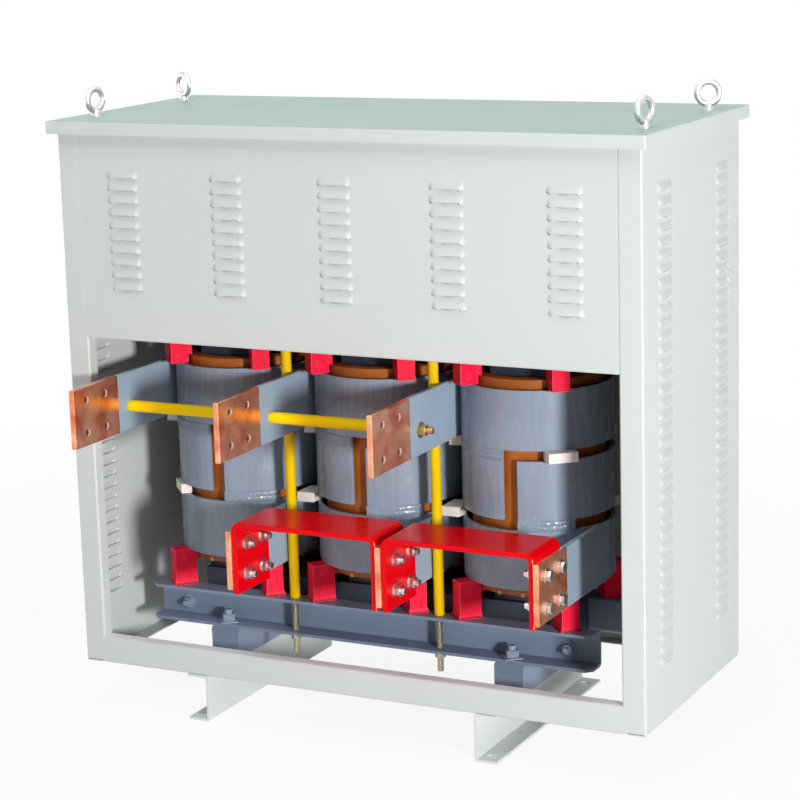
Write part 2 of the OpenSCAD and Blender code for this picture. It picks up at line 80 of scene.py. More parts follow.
# %% [markdown]
# In the picture the right ends of the front louvres are bright, the left ends dark, and the right post
# throws a fairly sharp shadow on the last coil. So the main lamp stands low at the front right, at
# nearly the same angle to the front and to the side. Wide weak lamps in front and above open the
# shadows, and two more keep the back and the left from going dark. Those two stand lower than the roof, so
# that the roof never mirrors them. The room shows white to the camera and to reflections and lights the
# part less than that, so that a colour comes out about as it is written.

# %% World and lamps
AMBIENT = 0.03
MACHINE_MIDDLE = (0, 0, 0.6)
scene = bpy.context.scene
scene.view_settings.view_transform = "Standard"
world = bpy.data.worlds.new("white_room")
scene.world = world
world.use_nodes = True
room = world.node_tree
room_light = room.nodes["Background"]
room_light.inputs["Color"].default_value = (1, 1, 1, 1)
room_light.inputs["Strength"].default_value = AMBIENT


def seen_directly(tree):
    """Output that is 1 for camera, glossy and transmission rays and 0 for the rest."""
    path = tree.nodes.new("ShaderNodeLightPath")
    total = path.outputs["Is Camera Ray"]
    for name in ("Is Glossy Ray", "Is Transmission Ray"):
        larger = tree.nodes.new("ShaderNodeMath")
        larger.operation = "MAXIMUM"
        tree.links.new(total, larger.inputs[0])
        tree.links.new(path.outputs[name], larger.inputs[1])
        total = larger.outputs[0]
    return total


room_white = room.nodes.new("ShaderNodeBackground")
room_white.inputs["Color"].default_value = (1, 1, 1, 1)
room_mix = room.nodes.new("ShaderNodeMixShader")
room.links.new(seen_directly(room), room_mix.inputs["Fac"])
room.links.new(room_light.outputs[0], room_mix.inputs[1])
room.links.new(room_white.outputs[0], room_mix.inputs[2])
room.links.new(room_mix.outputs[0], room.nodes["World Output"].inputs["Surface"])


def soft_lamp(name, place, size, power, aim=MACHINE_MIDDLE):
    """Square lamp that faces a point."""
    bpy.ops.object.light_add(type="AREA", location=place)
    lamp = bpy.context.object
    lamp.name = name
    lamp.data.size = size
    lamp.data.energy = power
    lamp.rotation_euler = (Vector(aim) - Vector(place)).to_track_quat("-Z", "Y").to_euler()


soft_lamp("main_lamp", (5.25, -4.1, 1.25), size=0.7, power=415)
soft_lamp("front_lamp", (-0.6, -3.0, 5.5), size=3.0, power=126, aim=(0, -0.2, 0.5))
soft_lamp("back_lamp", (0.0, 6.0, 0.6), size=1.0, power=185)
soft_lamp("left_lamp", (-6.0, 0.0, 0.6), size=0.5, power=147)
soft_lamp("top_lamp", (0.3, 0.2, 5.0), size=3.0, power=66)

# %% [markdown]
# Shader sums read best as sums. A thin wrapper around a node's output lets `1 - mask` or
# `0.3 + 0.1 * grain` add the Math nodes, and one method adds every other node. Colours are written
# as the eye sees them, from 0 to 255, and turned into the linear values that the renderer wants.


# %% Shader helpers
class Wire:
    """A node's output that takes part in Python arithmetic by adding Math nodes."""

    def __init__(self, finish, socket):
        self.finish = finish
        self.socket = socket

    def math(self, operation, first, second):
        return self.finish.add("ShaderNodeMath", {"operation": operation}, {0: first, 1: second})

    def __add__(self, other):
        return self.math("ADD", self, other)

    def __sub__(self, other):
        return self.math("SUBTRACT", self, other)

    def __rsub__(self, other):
        return self.math("SUBTRACT", other, self)

    def __mul__(self, other):
        return self.math("MULTIPLY", self, other)

    __radd__ = __add__
    __rmul__ = __mul__


def tint(red, green, blue):
    """Linear colour of an sRGB colour given from 0 to 255."""
    shares = [v / 255 for v in (red, green, blue)]
    return (*[v / 12.92 if v <= 0.04045 else ((v + 0.055) / 1.055) ** 2.4 for v in shares], 1.0)


class Finish:
    """A material whose nodes are added one call at a time."""

    def __init__(self, name, steady):
        self.material = bpy.data.materials.new(name)
        self.material.use_nodes = True
        self.nodes = self.material.node_tree.nodes
        self.skin = self.nodes["Principled BSDF"]
        for socket, value in steady.items():
            self.skin.inputs[socket].default_value = value

    def feed(self, socket, value):
        if isinstance(value, Wire):
            self.material.node_tree.links.new(value.socket, socket)
        else:
            socket.default_value = value

    def add(self, kind, settings=None, inputs=None, output=0):
        node = self.nodes.new(kind)
        for key, value in (settings or {}).items():
            setattr(node, key, value)
        for key, value in (inputs or {}).items():
            self.feed(node.inputs[key], value)
        return Wire(self, node.outputs[output])

    def places(self, scale=(1, 1, 1)):
        """Object coordinates in metres, stretched by a scale."""
        spot = self.add("ShaderNodeTexCoord", output="Object")
        return self.add("ShaderNodeMapping", {}, {"Vector": spot, "Scale": scale})

    def grain(self, scale, detail=2.0, stretch=(1, 1, 1)):
        """Noise from about 0 to 1, with scale spots in a metre."""
        return self.add("ShaderNodeTexNoise", {},
                        {"Vector": self.places(stretch), "Scale": scale, "Detail": detail})

    def axis(self, name):
        """One object coordinate in metres."""
        spot = self.add("ShaderNodeTexCoord", output="Object")
        return self.add("ShaderNodeSeparateXYZ", {}, {0: spot}, name)

    def blend(self, first, second, share):
        """Colour between two colours."""
        return self.add("ShaderNodeMix", {"data_type": "RGBA"}, {0: share, 6: first, 7: second}, 2)

    def between(self, value, low, high):
        """0 below low, 1 above high, and a straight run between."""
        return self.add("ShaderNodeMapRange", {"clamp": True}, {0: value, 1: low, 2: high})

    def skin_takes(self, **sockets):
        for socket, value in sockets.items():
            self.feed(self.skin.inputs[socket.replace("_", " ")], value)

    def bump(self, height, strength, depth):
        """Lets a height in steps of depth metres tilt the surface."""
        self.skin_takes(Normal=self.add("ShaderNodeBump", {}, {
            "Strength": strength, "Distance": depth, "Height": height}))


print("a grey of 128 is", round(tint(128, 128, 128)[0], 3), "in linear light")

# %% [markdown]
# The floor is a plain sheet. Far from the machine it is shown as flat white, so that it runs into the
# white room. Near the machine a part of it is a real matt surface that keeps the soft shadow.

# %% Floor
FLOOR_SIZE = 60
NEAR_WHITE = 0.9
NEAR_RADIUS = 1.1
FAR_RADIUS = 3.0
bpy.ops.object.select_all(action="DESELECT")
bpy.ops.mesh.primitive_plane_add(size=FLOOR_SIZE)
floor = bpy.context.object
floor.name = "floor"
floor_finish = Finish("floor_white", {"Base Color": tint(238, 238, 238), "Roughness": 0.9})
floor_tree = floor_finish.material.node_tree
spot = floor_finish.add("ShaderNodeTexCoord", output="Object")
reach = floor_finish.add("ShaderNodeVectorMath", {"operation": "LENGTH"}, {0: spot}, "Value")
far = floor_finish.between(reach, NEAR_RADIUS, FAR_RADIUS)
shown_white = Wire(floor_finish, seen_directly(floor_tree)) * (NEAR_WHITE + (1 - NEAR_WHITE) * far)
glow = floor_finish.add("ShaderNodeEmission")
matt = Wire(floor_finish, floor_finish.skin.outputs[0])
floor_look = floor_finish.add("ShaderNodeMixShader", {}, {0: shown_white, 1: matt, 2: glow})
floor_tree.links.new(floor_look.socket, floor_tree.nodes["Material Output"].inputs["Surface"])
floor.data.materials.append(floor_finish.material)
print("floor at", floor.location.z)

# %% [markdown]
# Paint comes in three kinds here. The cabinet has a factory powder coat: even, satin, with the faint
# dimples called orange peel. The clamps and coils are brushed or dipped, so their colour and gloss
# wander. The bridges have a glossy coat that rounds off every small dip.


# %% Paints
def scaled(colour, share):
    """A colour made darker or paler."""
    return tuple(min(1.0, share * v) for v in colour[:3]) + (1.0,)


def powder_coat(name, colour):
    paint = Finish(name, {"Specular IOR Level": 0.25})
    paint.skin_takes(Base_Color=paint.blend(scaled(colour, 0.93), colour, paint.grain(2.5, 3)),
                     Roughness=0.34 + 0.12 * paint.grain(14))
    paint.bump(paint.grain(420, 1), strength=0.06, depth=0.4 * MM)
    return paint.material


def brushed_paint(name, colour, gloss, streak, stroke, mottle=0.16, grit=0.12):
    """Paint put on by hand: blotches, streaks that ran and the ridges that the brush left."""
    paint = Finish(name, {"Specular IOR Level": 0.45})
    blotch = paint.grain(7, 4)
    line = paint.grain(90, 3, streak)
    spread = 0.4 * blotch + 0.6 * line
    paint.skin_takes(Base_Color=paint.blend(scaled(colour, 1 - mottle), scaled(colour, 1 + mottle), spread),
                     Roughness=gloss + 0.1 * line)
    paint.bump(paint.grain(170, 2, stroke), strength=grit, depth=0.6 * MM)
    return paint.material


def gloss_coat(name, colour):
    paint = Finish(name, {"Specular IOR Level": 0.04, "Coat Weight": 0.16, "Coat Roughness": 0.02})
    paint.skin_takes(Base_Color=paint.blend(scaled(colour, 0.8), colour, paint.grain(9, 2)),
                     Roughness=0.24 + 0.12 * paint.grain(30))
    paint.bump(paint.grain(40, 1), strength=0.03, depth=0.6 * MM)
    return paint.material


cabinet_paint = powder_coat("cabinet_paint", tint(203, 208, 206))
# Painted shade: the roof's top is painted darker and greener than the walls.
roof_paint = powder_coat("roof_paint", tint(174, 203, 192))
foot_paint = powder_coat("foot_paint", tint(212, 218, 217))
# Painted light: a paler coat for the sill's top face.
sill_top_painted_light = powder_coat("sill_top_painted_light", tint(236, 238, 242))
ALONG_X = (0.15, 1, 1)
DOWN = (1, 1, 0.12)
ALONG_STRIP = (0.08, 0.08, 1)
ALL_WAYS = (1, 1, 1)
frame_paint = brushed_paint("frame_paint", tint(114, 128, 150), 0.34, ALONG_X, ALONG_X)
strip_paint = brushed_paint("strip_paint", tint(132, 145, 162), 0.22, DOWN, ALONG_STRIP, grit=0.3)
weld_paint = brushed_paint("weld_paint", tint(128, 141, 158), 0.1, ALL_WAYS, ALL_WAYS, 0.25, 0.6)
# A paler frame paint: painted highlight on the clamps' eased edges, and the colour of the painted nuts.
frame_nuts_and_edge_highlight = brushed_paint("frame_nuts_and_edge_highlight", tint(132, 144, 160), 0.36, ALONG_X, ALONG_X)
bridge_paint = gloss_coat("bridge_paint", tint(226, 0, 14))
# Painted highlight: a pale peach for the bridges' rounded right edges.
bridge_edge_highlight = gloss_coat("bridge_edge_paint", tint(250, 186, 156))
print("paints:", [m.name for m in bpy.data.materials if "paint" in m.name])

# %% [markdown]
# The terminals are copper bars that leave the coils under grey paint and lose it where the joint faces
# begin. The bars' grey is paler than the strip's, as painted light on the bars. One material does both:
# the distance along the bar picks bare metal or paint, and a little noise keeps the paint's edge from
# being a ruled line. Bare copper carries fine lines from milling and dull finger marks.

# %% Copper that is part painted
PAINT_EDGE = 0.6 * MM
PAINT_WANDER = 1.6 * MM


def copper_bar(name, paint_from, dull, bright):
    bar = Finish(name, {"Specular IOR Level": 0.3})
    along = bar.axis("Y") + PAINT_WANDER * bar.grain(120)
    painted = bar.between(along, paint_from, paint_from + PAINT_EDGE)
    smudge = bar.grain(26, 4)
    milled = bar.grain(60, 3, (1, 12, 1))
    copper = bar.blend(dull, bright, bar.between(smudge, 0.3, 0.7))
    # A paler grey than the strip's paint: painted light on the bars.
    grey = bar.blend(tint(136, 155, 174), tint(156, 175, 192), bar.grain(10, 3))
    bar.skin_takes(Base_Color=bar.blend(copper, grey, painted),
                   Metallic=0.8 - 0.8 * painted,
                   Roughness=0.14 + 0.16 * smudge + 0.1 * painted)
    bar.bump(milled, strength=0.05, depth=0.3 * MM)
    return bar.material


LINE_PAINT_FROM = -272 * MM
STAR_PAINT_FROM = -210 * MM
BARE = (tint(222, 112, 74), tint(255, 194, 158))
line_copper = copper_bar("line_copper", LINE_PAINT_FROM, *BARE)
star_copper = copper_bar("star_copper", STAR_PAINT_FROM, *BARE)
print("bare copper ends at", LINE_PAINT_FROM, STAR_PAINT_FROM)

# %% [markdown]
# The cable holes' walls are painted with light and shade: a painted highlight near the right face, where
# light reaches in, and painted shade further in, with a little grain. The bars all have the same spacing,
# so the remainder of a division by it gives the depth in a hole for all of them.

# %% Hole walls
HIGHLIGHT_FROM = 0.6
HIGHLIGHT_FULL = 0.74


def shaded_hole_copper(name):
    wall = Finish(name, {"Specular IOR Level": 0.4, "Metallic": 0.3})
    bar_low, bar_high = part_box("line_terminal_a")
    bar_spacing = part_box("line_terminal_b")[0].x - bar_low.x
    bar_width = bar_high.x - bar_low.x
    across = wall.axis("X") - bar_low.x
    depth = across.math("FLOORED_MODULO", across, bar_spacing)
    wall_grain = wall.grain(200, 3)
    # Painted shade deeper in the hole.
    dark = wall.blend(tint(52, 22, 16), tint(112, 54, 36), wall_grain)
    # Painted highlight near the right face, where light reaches into the hole.
    painted_highlight = wall.between(depth, HIGHLIGHT_FROM * bar_width, HIGHLIGHT_FULL * bar_width)
    wall.skin_takes(Base_Color=wall.blend(dark, tint(255, 214, 190), painted_highlight), Roughness=0.26 + 0.2 * wall_grain)
    print("holes are", round(bar_width / MM, 1), "mm deep")
    return wall.material


hole_copper = shaded_hole_copper("hole_copper")

# %% [markdown]
# The insulating pieces each have their own look: the inner winding is varnished orange-brown wire
# layers, the blocks are moulded from red polyester with pale fibre specks, the sleeves are smooth
# yellow tube, and the spacers are sawn from pale board.


# %% Insulation
def wire_varnish(name):
    wire = Finish(name, {"Specular IOR Level": 0.3, "Coat Weight": 0.1, "Coat Roughness": 0.2})
    layer = wire.add("ShaderNodeTexWave", {"bands_direction": "Z"}, {
        "Vector": wire.places(), "Scale": 130, "Distortion": 1.2, "Detail": 2})
    stain = wire.grain(18, 4)
    brown = wire.blend(tint(130, 64, 20), tint(202, 116, 40), stain)
    wire.skin_takes(Base_Color=wire.blend(brown, tint(92, 46, 18), 0.25 * layer),
                    Roughness=0.34 + 0.2 * stain)
    wire.bump(layer, strength=0.2, depth=0.5 * MM)
    return wire.material


def moulded_block(name, deep, pale):
    block = Finish(name, {"Specular IOR Level": 0.12})
    flow = block.grain(22, 4)
    speck = block.between(block.grain(330, 1), 0.64, 0.72)
    red = block.blend(deep, pale, flow)
    block.skin_takes(Base_Color=block.blend(red, tint(226, 96, 116), 0.3 * speck),
                     Roughness=0.36 + 0.18 * flow)
    block.bump(block.grain(240, 2), strength=0.1, depth=0.4 * MM)
    return block.material


def smooth_tube(name, dull, bright, streak):
    tube = Finish(name, {"Specular IOR Level": 0.1, "Coat Weight": 0.04, "Coat Roughness": 0.15})
    line = tube.grain(80, 2, streak)
    tube.skin_takes(Base_Color=tube.blend(dull, bright, line),
                    Roughness=0.3 + 0.12 * tube.grain(25))
    tube.bump(line, strength=0.04, depth=0.4 * MM)
    return tube.material


def sawn_board(name, dull, pale):
    board = Finish(name, {"Roughness": 0.75})
    fibre = board.grain(140, 3, (1, 1, 6))
    board.skin_takes(Base_Color=board.blend(dull, pale, fibre),
                     Roughness=0.66 + 0.2 * fibre)
    board.bump(fibre, strength=0.3, depth=0.5 * MM)
    return board.material


winding_varnish = wire_varnish("winding_varnish")
block_red = moulded_block("block_red", tint(222, 4, 46), tint(248, 14, 64))
# A paler red: painted highlight on the blocks' eased edges, and the colour of the ejector marks.
block_marks_and_highlight = moulded_block("block_marks_and_highlight", tint(214, 60, 82), tint(236, 110, 128))
# Painted shade: a darker red for the lowest band of each block's foot.
block_foot_shade = moulded_block("block_foot_shade", tint(158, 0, 28), tint(190, 0, 38))
rod_yellow = smooth_tube("rod_yellow", tint(248, 208, 0), tint(255, 224, 0), (0.05, 1, 1))
sleeve_yellow = smooth_tube("sleeve_yellow", tint(222, 180, 0), tint(238, 200, 0), (1, 1, 0.05))
spacer_board = sawn_board("spacer_board", tint(212, 202, 194), tint(244, 238, 232))
tie_tape = sawn_board("tie_tape", tint(196, 128, 70), tint(240, 196, 150))
print("finishes so far:", len(bpy.data.materials))

# %% [markdown]
# Bolts and eyes are zinc plated: bright, slightly cloudy metal. A few fasteners have the yellow
# passivated kind. The core is a stack of thin steel sheets, whose edges show as fine lines across the
# stack. Its dark blue-grey varnish is painted darker still, as painted shade for the dim inside.


# %% Steel
def plated_steel(name, dull, bright):
    plate = Finish(name, {"Metallic": 1.0})
    cloud = plate.grain(90, 4)
    plate.skin_takes(Base_Color=plate.blend(dull, bright, cloud), Roughness=0.2 + 0.2 * cloud)
    plate.bump(plate.grain(500, 2), strength=0.08, depth=0.3 * MM)
    return plate.material


def stacked_sheets(name):
    core = Finish(name, {"Specular IOR Level": 0.4})
    sheets = core.add("ShaderNodeTexWave", {"bands_direction": "X"}, {
        "Vector": core.places(), "Scale": 90, "Distortion": 0.6, "Detail": 2})
    stain = core.grain(12, 3)
    # The core's colours are darker than its own varnish: painted shade for the dim inside.
    dark = core.blend(tint(34, 38, 50), tint(62, 69, 86), stain)
    core.skin_takes(Base_Color=core.blend(dark, tint(24, 27, 36), 0.5 * sheets),
                    Roughness=0.45 + 0.2 * stain)
    core.bump(sheets, strength=0.4, depth=0.6 * MM)
    return core.material


def threaded_rod(name):
    rod = Finish(name, {"Metallic": 1.0})
    thread = rod.add("ShaderNodeTexWave", {"bands_direction": "Z"}, {
        "Vector": rod.places(), "Scale": 180})
    rod.skin_takes(Base_Color=rod.blend(tint(146, 128, 98), tint(232, 220, 192), thread),
                   Roughness=0.3 + 0.15 * rod.grain(60))
    rod.bump(thread, strength=0.8, depth=0.8 * MM)
    return rod.material


zinc = plated_steel("zinc", tint(190, 190, 188), tint(240, 240, 238))
yellow_zinc = plated_steel("yellow_zinc", tint(168, 132, 72), tint(236, 208, 148))
core_steel = stacked_sheets("core_steel")
rod_thread = threaded_rod("rod_thread")
print("finishes in all:", len(bpy.data.materials))

# %% [markdown]
# Modelling by operators goes the same way every time: add a primitive, put its place into its mesh,
# open it in edit mode, select by position, and use a tool. These helpers keep that to one line per
# step. Everything is deselected first, because an operator acts on all that is selected.

# %% Modelling helpers
X, Y, Z = range(3)
TOUCH = 0.02 * MM


def clear_selection():
    if bpy.context.mode != "OBJECT":
        bpy.ops.object.mode_set(mode="OBJECT")
    bpy.ops.object.select_all(action="DESELECT")


def take(piece):
    """Makes a piece the only selected object and the active one."""
    clear_selection()
    piece.select_set(True)
    bpy.context.view_layer.objects.active = piece


def settle(name):
    """Names the object that was just added and puts its place into its mesh."""
    piece = bpy.context.object
    piece.name = name
    piece.data.name = name
    bpy.ops.object.transform_apply(location=True, rotation=True, scale=True)
    return piece


def new_block(name, low, high):
    clear_selection()
    bpy.ops.mesh.primitive_cube_add(size=1, location=(Vector(low) + Vector(high)) / 2)
    bpy.context.object.scale = Vector(high) - Vector(low)
    return settle(name)


def new_rod(name, start, end, radius, sides=32, ends="NGON"):
    clear_selection()
    run = Vector(end) - Vector(start)
    bpy.ops.mesh.primitive_cylinder_add(
        vertices=sides, radius=radius, depth=run.length, end_fill_type=ends,
        location=(Vector(start) + Vector(end)) / 2, rotation=run.to_track_quat("Z", "Y").to_euler())
    return settle(name)


def new_sheet(name, low, high):
    """Upright sheet in the XZ plane that faces -Y."""
    clear_selection()
    bpy.ops.mesh.primitive_plane_add(size=1, rotation=(math.pi / 2, 0, 0),
                                     location=(Vector(low) + Vector(high)) / 2)
    bpy.context.object.scale = (high[0] - low[0], high[2] - low[2], 1)
    return settle(name)


SELECT_MODES = {"verts": "VERT", "edges": "EDGE", "faces": "FACE"}


def middle(item):
    """Middle of a vertex, an edge or a face."""
    corners = item.verts if hasattr(item, "verts") else [item]
    return sum((v.co for v in corners), Vector()) / len(corners)


def pick(piece, kind, test):
    """Opens a piece in edit mode and selects the items that pass a test of item and middle."""
    if bpy.context.mode != "EDIT_MESH":
        take(piece)
        bpy.ops.object.mode_set(mode="EDIT")
    bpy.ops.mesh.select_mode(type=SELECT_MODES[kind])
    bpy.ops.mesh.select_all(action="DESELECT")
    shape = bmesh.from_edit_mesh(piece.data)
    for item in getattr(shape, kind):
        if test(item, middle(item)):
            item.select_set(True)
    shape.select_flush_mode()
    bmesh.update_edit_mesh(piece.data)


def near(first, second):
    return abs(first - second) < TOUCH


def shift(piece, test, offset):
    pick(piece, "verts", test)
    bpy.ops.transform.translate(value=offset)


def pull(piece, test, offset):
    """Extrudes the edges that pass a test, as a brake folds on the next flange."""
    pick(piece, "edges", test)
    bpy.ops.mesh.extrude_region_move(TRANSFORM_OT_translate={"value": offset})


def ease(piece, test, radius, steps=3):
    """Rounds the edges that pass a test."""
    pick(piece, "edges", test)
    bpy.ops.mesh.bevel(offset=radius, segments=steps, affect="EDGES")


def drop_faces(piece, test):
    pick(piece, "faces", test)
    bpy.ops.mesh.delete(type="FACE")


def score(piece, point, normal, trim=False):
    """Cuts a piece along a plane, and takes away what lies beyond it where trim is set."""
    pick(piece, "faces", lambda item, mid: True)
    bpy.ops.mesh.bisect(plane_co=point, plane_no=normal, clear_outer=trim)


def finish_with(piece, kind, **settings):
    """Adds a modifier and applies it."""
    take(piece)
    modifier = piece.modifiers.new(kind.title(), kind)
    for key, value in settings.items():
        setattr(modifier, key, value)
    bpy.ops.object.modifier_apply(modifier=modifier.name)


def cut(piece, cutter, **settings):
    """Takes a cutter's shape out of a piece."""
    finish_with(piece, "BOOLEAN", object=cutter, operation="DIFFERENCE", solver="EXACT", **settings)
    bpy.data.objects.remove(cutter)


def thicken(piece, thickness):
    finish_with(piece, "SOLIDIFY", thickness=thickness, offset=-1, use_even_offset=True)


def soften(piece, radius, steps=2, finish=None, rim=None):
    """Eases every sharp edge that is left, and can give the eased edges a finish of their own, a painted
    highlight.
    """
    if rim is not None:
        piece.data.materials.append(finish)
        piece.data.materials.append(rim)
    finish_with(piece, "BEVEL", width=radius, segments=steps, limit_method="ANGLE",
                angle_limit=math.radians(40), material=-1 if rim is None else 1)


def copy_of(piece, name, matrix):
    clear_selection()
    twin = piece.copy()
    twin.data = piece.data.copy()
    twin.name = name
    twin.data.name = name
    bpy.context.collection.objects.link(twin)
    twin.data.transform(matrix)
    if matrix.determinant() < 0:
        twin.data.flip_normals()
    return twin


def join(pieces, name):
    """One object from several."""
    take(pieces[0])
    for piece in pieces[1:]:
        piece.select_set(True)
    bpy.ops.object.join()
    pieces[0].name = name
    return pieces[0]


def copies_at(master, name, spots):
    """Copies a piece to every matrix, takes the first piece away and joins the copies."""
    copies = [copy_of(master, name, spot) for spot in spots]
    bpy.data.objects.remove(master)
    return join(copies, name)


def keep(piece, finish, slot, *nodes):
    """Shades a finished piece, paints it and lets it stand for its solids."""
    take(piece)
    bpy.ops.object.shade_smooth_by_angle(angle=math.radians(38))
    finish_with(piece, "WEIGHTED_NORMAL", keep_sharp=True)
    if not piece.data.materials:
        piece.data.materials.append(finish)
    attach(piece, "root")
    if nodes:
        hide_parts(*nodes)
    print(piece.name, len(piece.data.polygons), "faces")


# %% [markdown]
# The cabinet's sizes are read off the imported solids: the sill gives the front face and the width of
# the opening, the roof gives the top. A sheet's edge is folded over like a brake does it, with a
# rounded bend.

# %% Cabinet sizes
SHEET = 2.5 * MM
POST_WIDTH = 46 * MM
LIP = 27 * MM
SIDE_FLANGE = 37 * MM
FOLD_RADIUS = 4 * MM
sill_low, sill_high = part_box("front_sill")
roof_low, roof_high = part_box("roof")
FRONT_Y = sill_low.y
HALF_DEPTH = -FRONT_Y
BODY_BOTTOM = sill_low.z
BODY_TOP = roof_high.z - SHEET
OPENING_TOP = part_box("front_panel")[0].z
PANEL_HALF = (sill_high.x - sill_low.x) / 2
CABINET_X = (sill_high.x + sill_low.x) / 2
SIDE_X = PANEL_HALF + POST_WIDTH


def fold_back(sheet, z, depth, y=0):
    """Folds a sheet's edge at one height towards +Y."""
    pull(sheet, lambda edge, mid: near(mid.z, z) and len(edge.link_faces) == 1, (0, depth, 0))
    ease(sheet, lambda edge, mid: near(mid.z, z) and near(mid.y, y), FOLD_RADIUS)


print("cabinet", round(2 * SIDE_X, 3), "wide,", round(BODY_TOP - BODY_BOTTOM, 3), "high")

# %% [markdown]
# A louvre is pressed in one stroke: the tool shears the sheet along one line and swells the metal
# above it into a hood. So one cell of sheet is scored into a small net, split along the shear line and
# swollen row by row. Two arrays repeat the cell down and across, the block is trimmed to the panel's
# width, and its edges are pulled out to the panel's height. Each hood keeps to a few dozen faces.

# %% Louvred sheets
LOUVRE_HALF = 35 * MM
LOUVRE_OUT = 6 * MM
LOUVRE_PITCH = 24 * MM
LOUVRE_TOP = BODY_TOP - 104 * MM
CELL_UNDER = 5 * MM
LIP_DROP = 3.2 * MM
HOOD_RISE = [(0, 0.72), (1 * MM, 1.0), (4 * MM, 0.88), (8 * MM, 0.55), (11.5 * MM, 0.2), (15 * MM, 0)]
HOOD_RUN = [(0, 1.0), (22 * MM, 1.0), (27 * MM, 0.9), (31.5 * MM, 0.5), (LOUVRE_HALF, 0)]


def louvre_cell(name, x, width):
    """One cell of sheet with its hood swollen out of it."""
    low = LOUVRE_TOP - CELL_UNDER
    cell = new_sheet(name, (x - width / 2, 0, low), (x + width / 2, 0, low + LOUVRE_PITCH))
    for run, _ in HOOD_RUN:
        for side in (1, -1) if run else (1,):
            score(cell, (x + side * run, 0, 0), (1, 0, 0))
    for rise, _ in HOOD_RISE:
        score(cell, (0, 0, LOUVRE_TOP + rise), (0, 0, 1))
    pick(cell, "edges", lambda edge, mid: near(mid.z, LOUVRE_TOP) and abs(mid.x - x) < LOUVRE_HALF)
    bpy.ops.mesh.edge_split(type="EDGE")
    for rise, swell in HOOD_RISE:
        for run, full in HOOD_RUN:
            if swell * full:
                shift(cell, lambda v, mid: near(mid.z, LOUVRE_TOP + rise) and near(abs(mid.x - x), run)
                      and all(middle(f).z > LOUVRE_TOP for f in v.link_faces if not rise),
                      (0, -LOUVRE_OUT * swell * full, 0 if rise else -LIP_DROP * full))
    return cell


def louvred_sheet(name, columns, rows, pitch, half_width, bottom):
    """Sheet in the XZ plane around x = 0, with its block of louvres below the roof."""
    sheet = louvre_cell(name, -(columns - 1) / 2 * pitch, pitch)
    for count, step in ((rows, (0, 0, -LOUVRE_PITCH)), (columns, (pitch, 0, 0))):
        finish_with(sheet, "ARRAY", count=count, use_relative_offset=False, use_constant_offset=True,
                    constant_offset_displace=step, use_merge_vertices=True, merge_threshold=0.01 * MM)
    for side in (-1, 1):
        score(sheet, (side * half_width, 0, 0), (side, 0, 0), trim=True)
    block_top = LOUVRE_TOP - CELL_UNDER + LOUVRE_PITCH
    block_bottom = block_top - rows * LOUVRE_PITCH
    pull(sheet, lambda edge, mid: near(mid.z, block_top), (0, 0, BODY_TOP - block_top))
    pull(sheet, lambda edge, mid: near(mid.z, block_bottom), (0, 0, bottom - block_bottom))
    return sheet


def set_in_place(piece, turn, place):
    take(piece)
    piece.matrix_world = Matrix.Translation(place) @ Matrix.Rotation(math.radians(turn), 4, "Z")
    bpy.ops.object.transform_apply(location=True, rotation=True, scale=True)


print("one hood swells", LOUVRE_OUT / MM, "mm")

# %% [markdown]
# The front and back panels are such sheets with their bottom edge folded in. The back one reaches
# down to the floor of the body. Both lie flush between the corner posts and reach a little over the
# posts' rounded edges, so that only a thin seam shows.

# %% Front and back panels
FRONT_COLUMNS = 5
FRONT_ROWS = 10
FRONT_COLUMN_PITCH = 228 * MM
SEAM_COVER = 1.2 * MM


def louvred_panel(name, bottom, turn, y):
    panel = louvred_sheet(name, FRONT_COLUMNS, FRONT_ROWS, FRONT_COLUMN_PITCH, PANEL_HALF + SEAM_COVER,
                          bottom)
    fold_back(panel, bottom, LIP)
    thicken(panel, SHEET)
    set_in_place(panel, turn, (CABINET_X, y, 0))
    keep(panel, cabinet_paint, "cabinet_paint", name.replace("_skin", ""))


louvred_panel("front_panel_skin", OPENING_TOP, 0, FRONT_Y)
louvred_panel("back_panel_skin", BODY_BOTTOM, 180, HALF_DEPTH)

# %% [markdown]
# Each side is one sheet with two tall columns of louvres. Its front and back edges are folded twice,
# into a corner post and a lip, and its bottom edge is folded in once.

# %% Sides
SIDE_COLUMNS = 2
SIDE_COLUMN_PITCH = 300 * MM
SIDE_ROWS = 37


def side_skin(name, turn, x):
    side = louvred_sheet(name, SIDE_COLUMNS, SIDE_ROWS, SIDE_COLUMN_PITCH, HALF_DEPTH, BODY_BOTTOM)
    fold_back(side, BODY_BOTTOM, SIDE_FLANGE)
    for end in (-1, 1):
        corner = end * HALF_DEPTH
        pull(side, lambda edge, mid: near(mid.x, corner) and near(mid.y, 0), (0, POST_WIDTH, 0))
        pull(side, lambda edge, mid: near(mid.x, corner) and near(mid.y, POST_WIDTH)
             and len(edge.link_faces) == 1, (-end * LIP, 0, 0))
        for y in (0, POST_WIDTH):
            ease(side, lambda edge, mid: near(mid.x, corner) and near(mid.y, y)
                 and len(edge.link_faces) == 2, FOLD_RADIUS)
    thicken(side, SHEET)
    set_in_place(side, turn, (x, 0, 0))
    keep(side, cabinet_paint, "cabinet_paint", name.replace("_skin", ""))


side_skin("left_side_panel_skin", -90, CABINET_X - SIDE_X)
side_skin("right_side_panel_skin", 90, CABINET_X + SIDE_X)

# %% [markdown]
# The sill below the opening is folded in at its top and its bottom, and its ends are let in flush over
# the rounded edges of the posts. Its top fold is painted paler than the coat, as painted light on that
# face. The roof is a shallow tray turned upside down, open below, whose top is painted a darker, cooler
# green than the walls as painted shade.

# %% Sill and roof
ROOF_EDGE = 3 * MM


